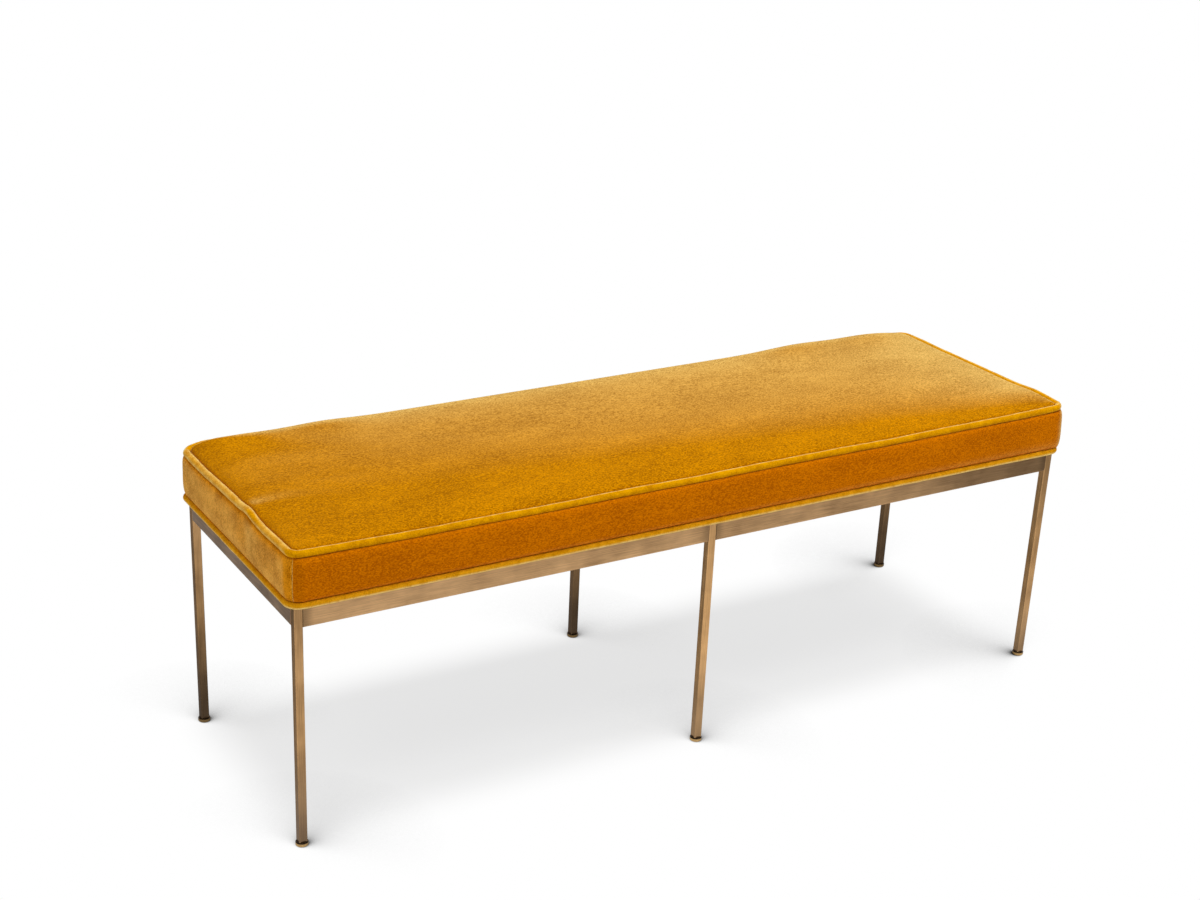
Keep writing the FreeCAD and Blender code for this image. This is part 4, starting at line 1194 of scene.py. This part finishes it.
floor = add_start(bpy.ops.mesh.primitive_plane_add, "floor", (0, 0, 0),
                  (2 * FLOOR_HALF, 2 * FLOOR_HALF, 1))
floor_finish = bpy.data.materials.new("floor")
floor_finish.use_nodes = True
tree = floor_finish.node_tree
tree.nodes.clear()
split = add_node(tree, "ShaderNodeSeparateXYZ")
tree.links.new(add_node(tree, "ShaderNodeTexCoord").outputs["Object"], split.inputs[0])
along, back = split.outputs["X"], split.outputs["Y"]
gaps = []
for place, middle, half in ((along, 0.0, SHADE_HALF_X), (back, SHADE_BACK, SHADE_HALF_Y)):
    past = calculate(tree, "ABSOLUTE", calculate(tree, "SUBTRACT", place, middle))
    past = calculate(tree, "MAXIMUM", calculate(tree, "SUBTRACT", past, half), 0.0)
    gaps.append(calculate(tree, "MULTIPLY", past, past))
gap = calculate(tree, "POWER", calculate(tree, "ADD", *gaps), 0.5)
lift = remap(tree, gap, 0.0, FLOOR_FADE, FLOOR_LIFT, 1.0, "SMOOTHSTEP")
rays = add_node(tree, "ShaderNodeLightPath")
aslant = calculate(tree, "SUBTRACT", along, calculate(tree, "MULTIPLY", back, SWEEP_SLOPE))
ahead = one_minus(tree, smooth_mask(tree, aslant, *SWEEP_SPAN, SWEEP_DIMS))
behind = one_minus(tree, smooth_mask(tree, back, *BEHIND_SPAN, BEHIND_DIMS))
dimmer = one_minus(tree, calculate(tree, "MULTIPLY", ahead, behind))
dimmer = calculate(tree, "MULTIPLY", dimmer, rays.outputs["Is Glossy Ray"])
towards = add_node(tree, "ShaderNodeMix", data_type="VECTOR")
tree.links.new(smooth_mask(tree, along, *LAMP_CHANGE), towards.inputs[0])
towards.inputs[4].default_value = TO_LEFT_LAMP
towards.inputs[5].default_value = TO_RIGHT_LAMP
contact = feed(tree, add_node(tree, "ShaderNodeAmbientOcclusion", samples=16),
               Distance=CONTACT_REACH, Normal=towards.outputs[1])
shaded = calculate(tree, "MULTIPLY", one_minus(tree, contact.outputs["AO"]), CONTACT_SHADE)
bright = calculate(tree, "MULTIPLY", one_minus(tree, dimmer), one_minus(tree, shaded, clamp=True))
matte = feed(tree, add_node(tree, "ShaderNodeBsdfDiffuse"), Color=(0.95, 0.95, 0.95, 1.0))
white = feed(tree, add_node(tree, "ShaderNodeEmission"), Color=(1.0, 1.0, 1.0, 1.0),
             Strength=bright)
lifted = add_node(tree, "ShaderNodeMixShader")
tree.links.new(calculate(tree, "MULTIPLY", seen_share(tree, rays), lift), lifted.inputs[0])
tree.links.new(matte.outputs[0], lifted.inputs[1])
tree.links.new(white.outputs[0], lifted.inputs[2])
floor_out = add_node(tree, "ShaderNodeOutputMaterial")
tree.links.new(lifted.outputs[0], floor_out.inputs["Surface"])
give_finish(floor, floor_finish)
print("floor: %d m wide" % (2 * FLOOR_HALF))

# %% [markdown]
# The world is white for the camera and in the metal. On its way to the velvet its light is held
# back to a share, so that the lamps still model the cushion.

# %% World
WORLD_SHARE = 0.40
world = bpy.data.worlds.new("studio")
bpy.context.scene.world = world
world.use_nodes = True
tree = world.node_tree
background = tree.nodes["Background"]
rays = add_node(tree, "ShaderNodeLightPath")
strength = remap(tree, seen_share(tree, rays), 0.0, 1.0, WORLD_SHARE, 1.0)
feed(tree, background, Strength=strength, Color=(1.0, 1.0, 1.0, 1.0))
print("the world lights with a share of", WORLD_SHARE)

# %% [markdown]
# Three soft lamps light the bench: a large one overhead, and one each from the front left and front
# right, of which the right one is the stronger, so that the long side shows its bulge.

# %% Lamps
def soft_lamp(name, place, aim, size, share):
    """A softbox. Its share is of the light on a level surface at its aim: 1 shows white as white."""
    data = bpy.data.lights.new(name, "AREA")
    data.shape = "RECTANGLE"
    data.size, data.size_y = size
    away = Vector(place) - Vector(aim)
    slope = abs(away.z) / away.length
    data.energy = share * math.pi ** 2 * away.length_squared / slope
    lamp = bpy.data.objects.new(name, data)
    bpy.context.scene.collection.objects.link(lamp)
    lamp.matrix_world = Matrix.Translation(place) @ away.to_track_quat("Z", "Y").to_matrix().to_4x4()
    print("%s: %.0f W" % (name, data.energy))
    return lamp


SEAT_MIDDLE = (0, 0, 0.45)
soft_lamp("overhead", (0, 0, 6.0), SEAT_MIDDLE, (1.8, 1.8), 0.48)
soft_lamp("front_left", (-2.04, -1.26, 2.8), SEAT_MIDDLE, (0.9, 0.9), 0.06)
soft_lamp("front_right", (1.25, -1.15, 2.8), SEAT_MIDDLE, (0.9, 0.9), 0.21)

# %% [markdown]
# The view transform is Standard, so a colour shows as written.

# %% Finish
bpy.context.scene.view_settings.view_transform = "Standard"
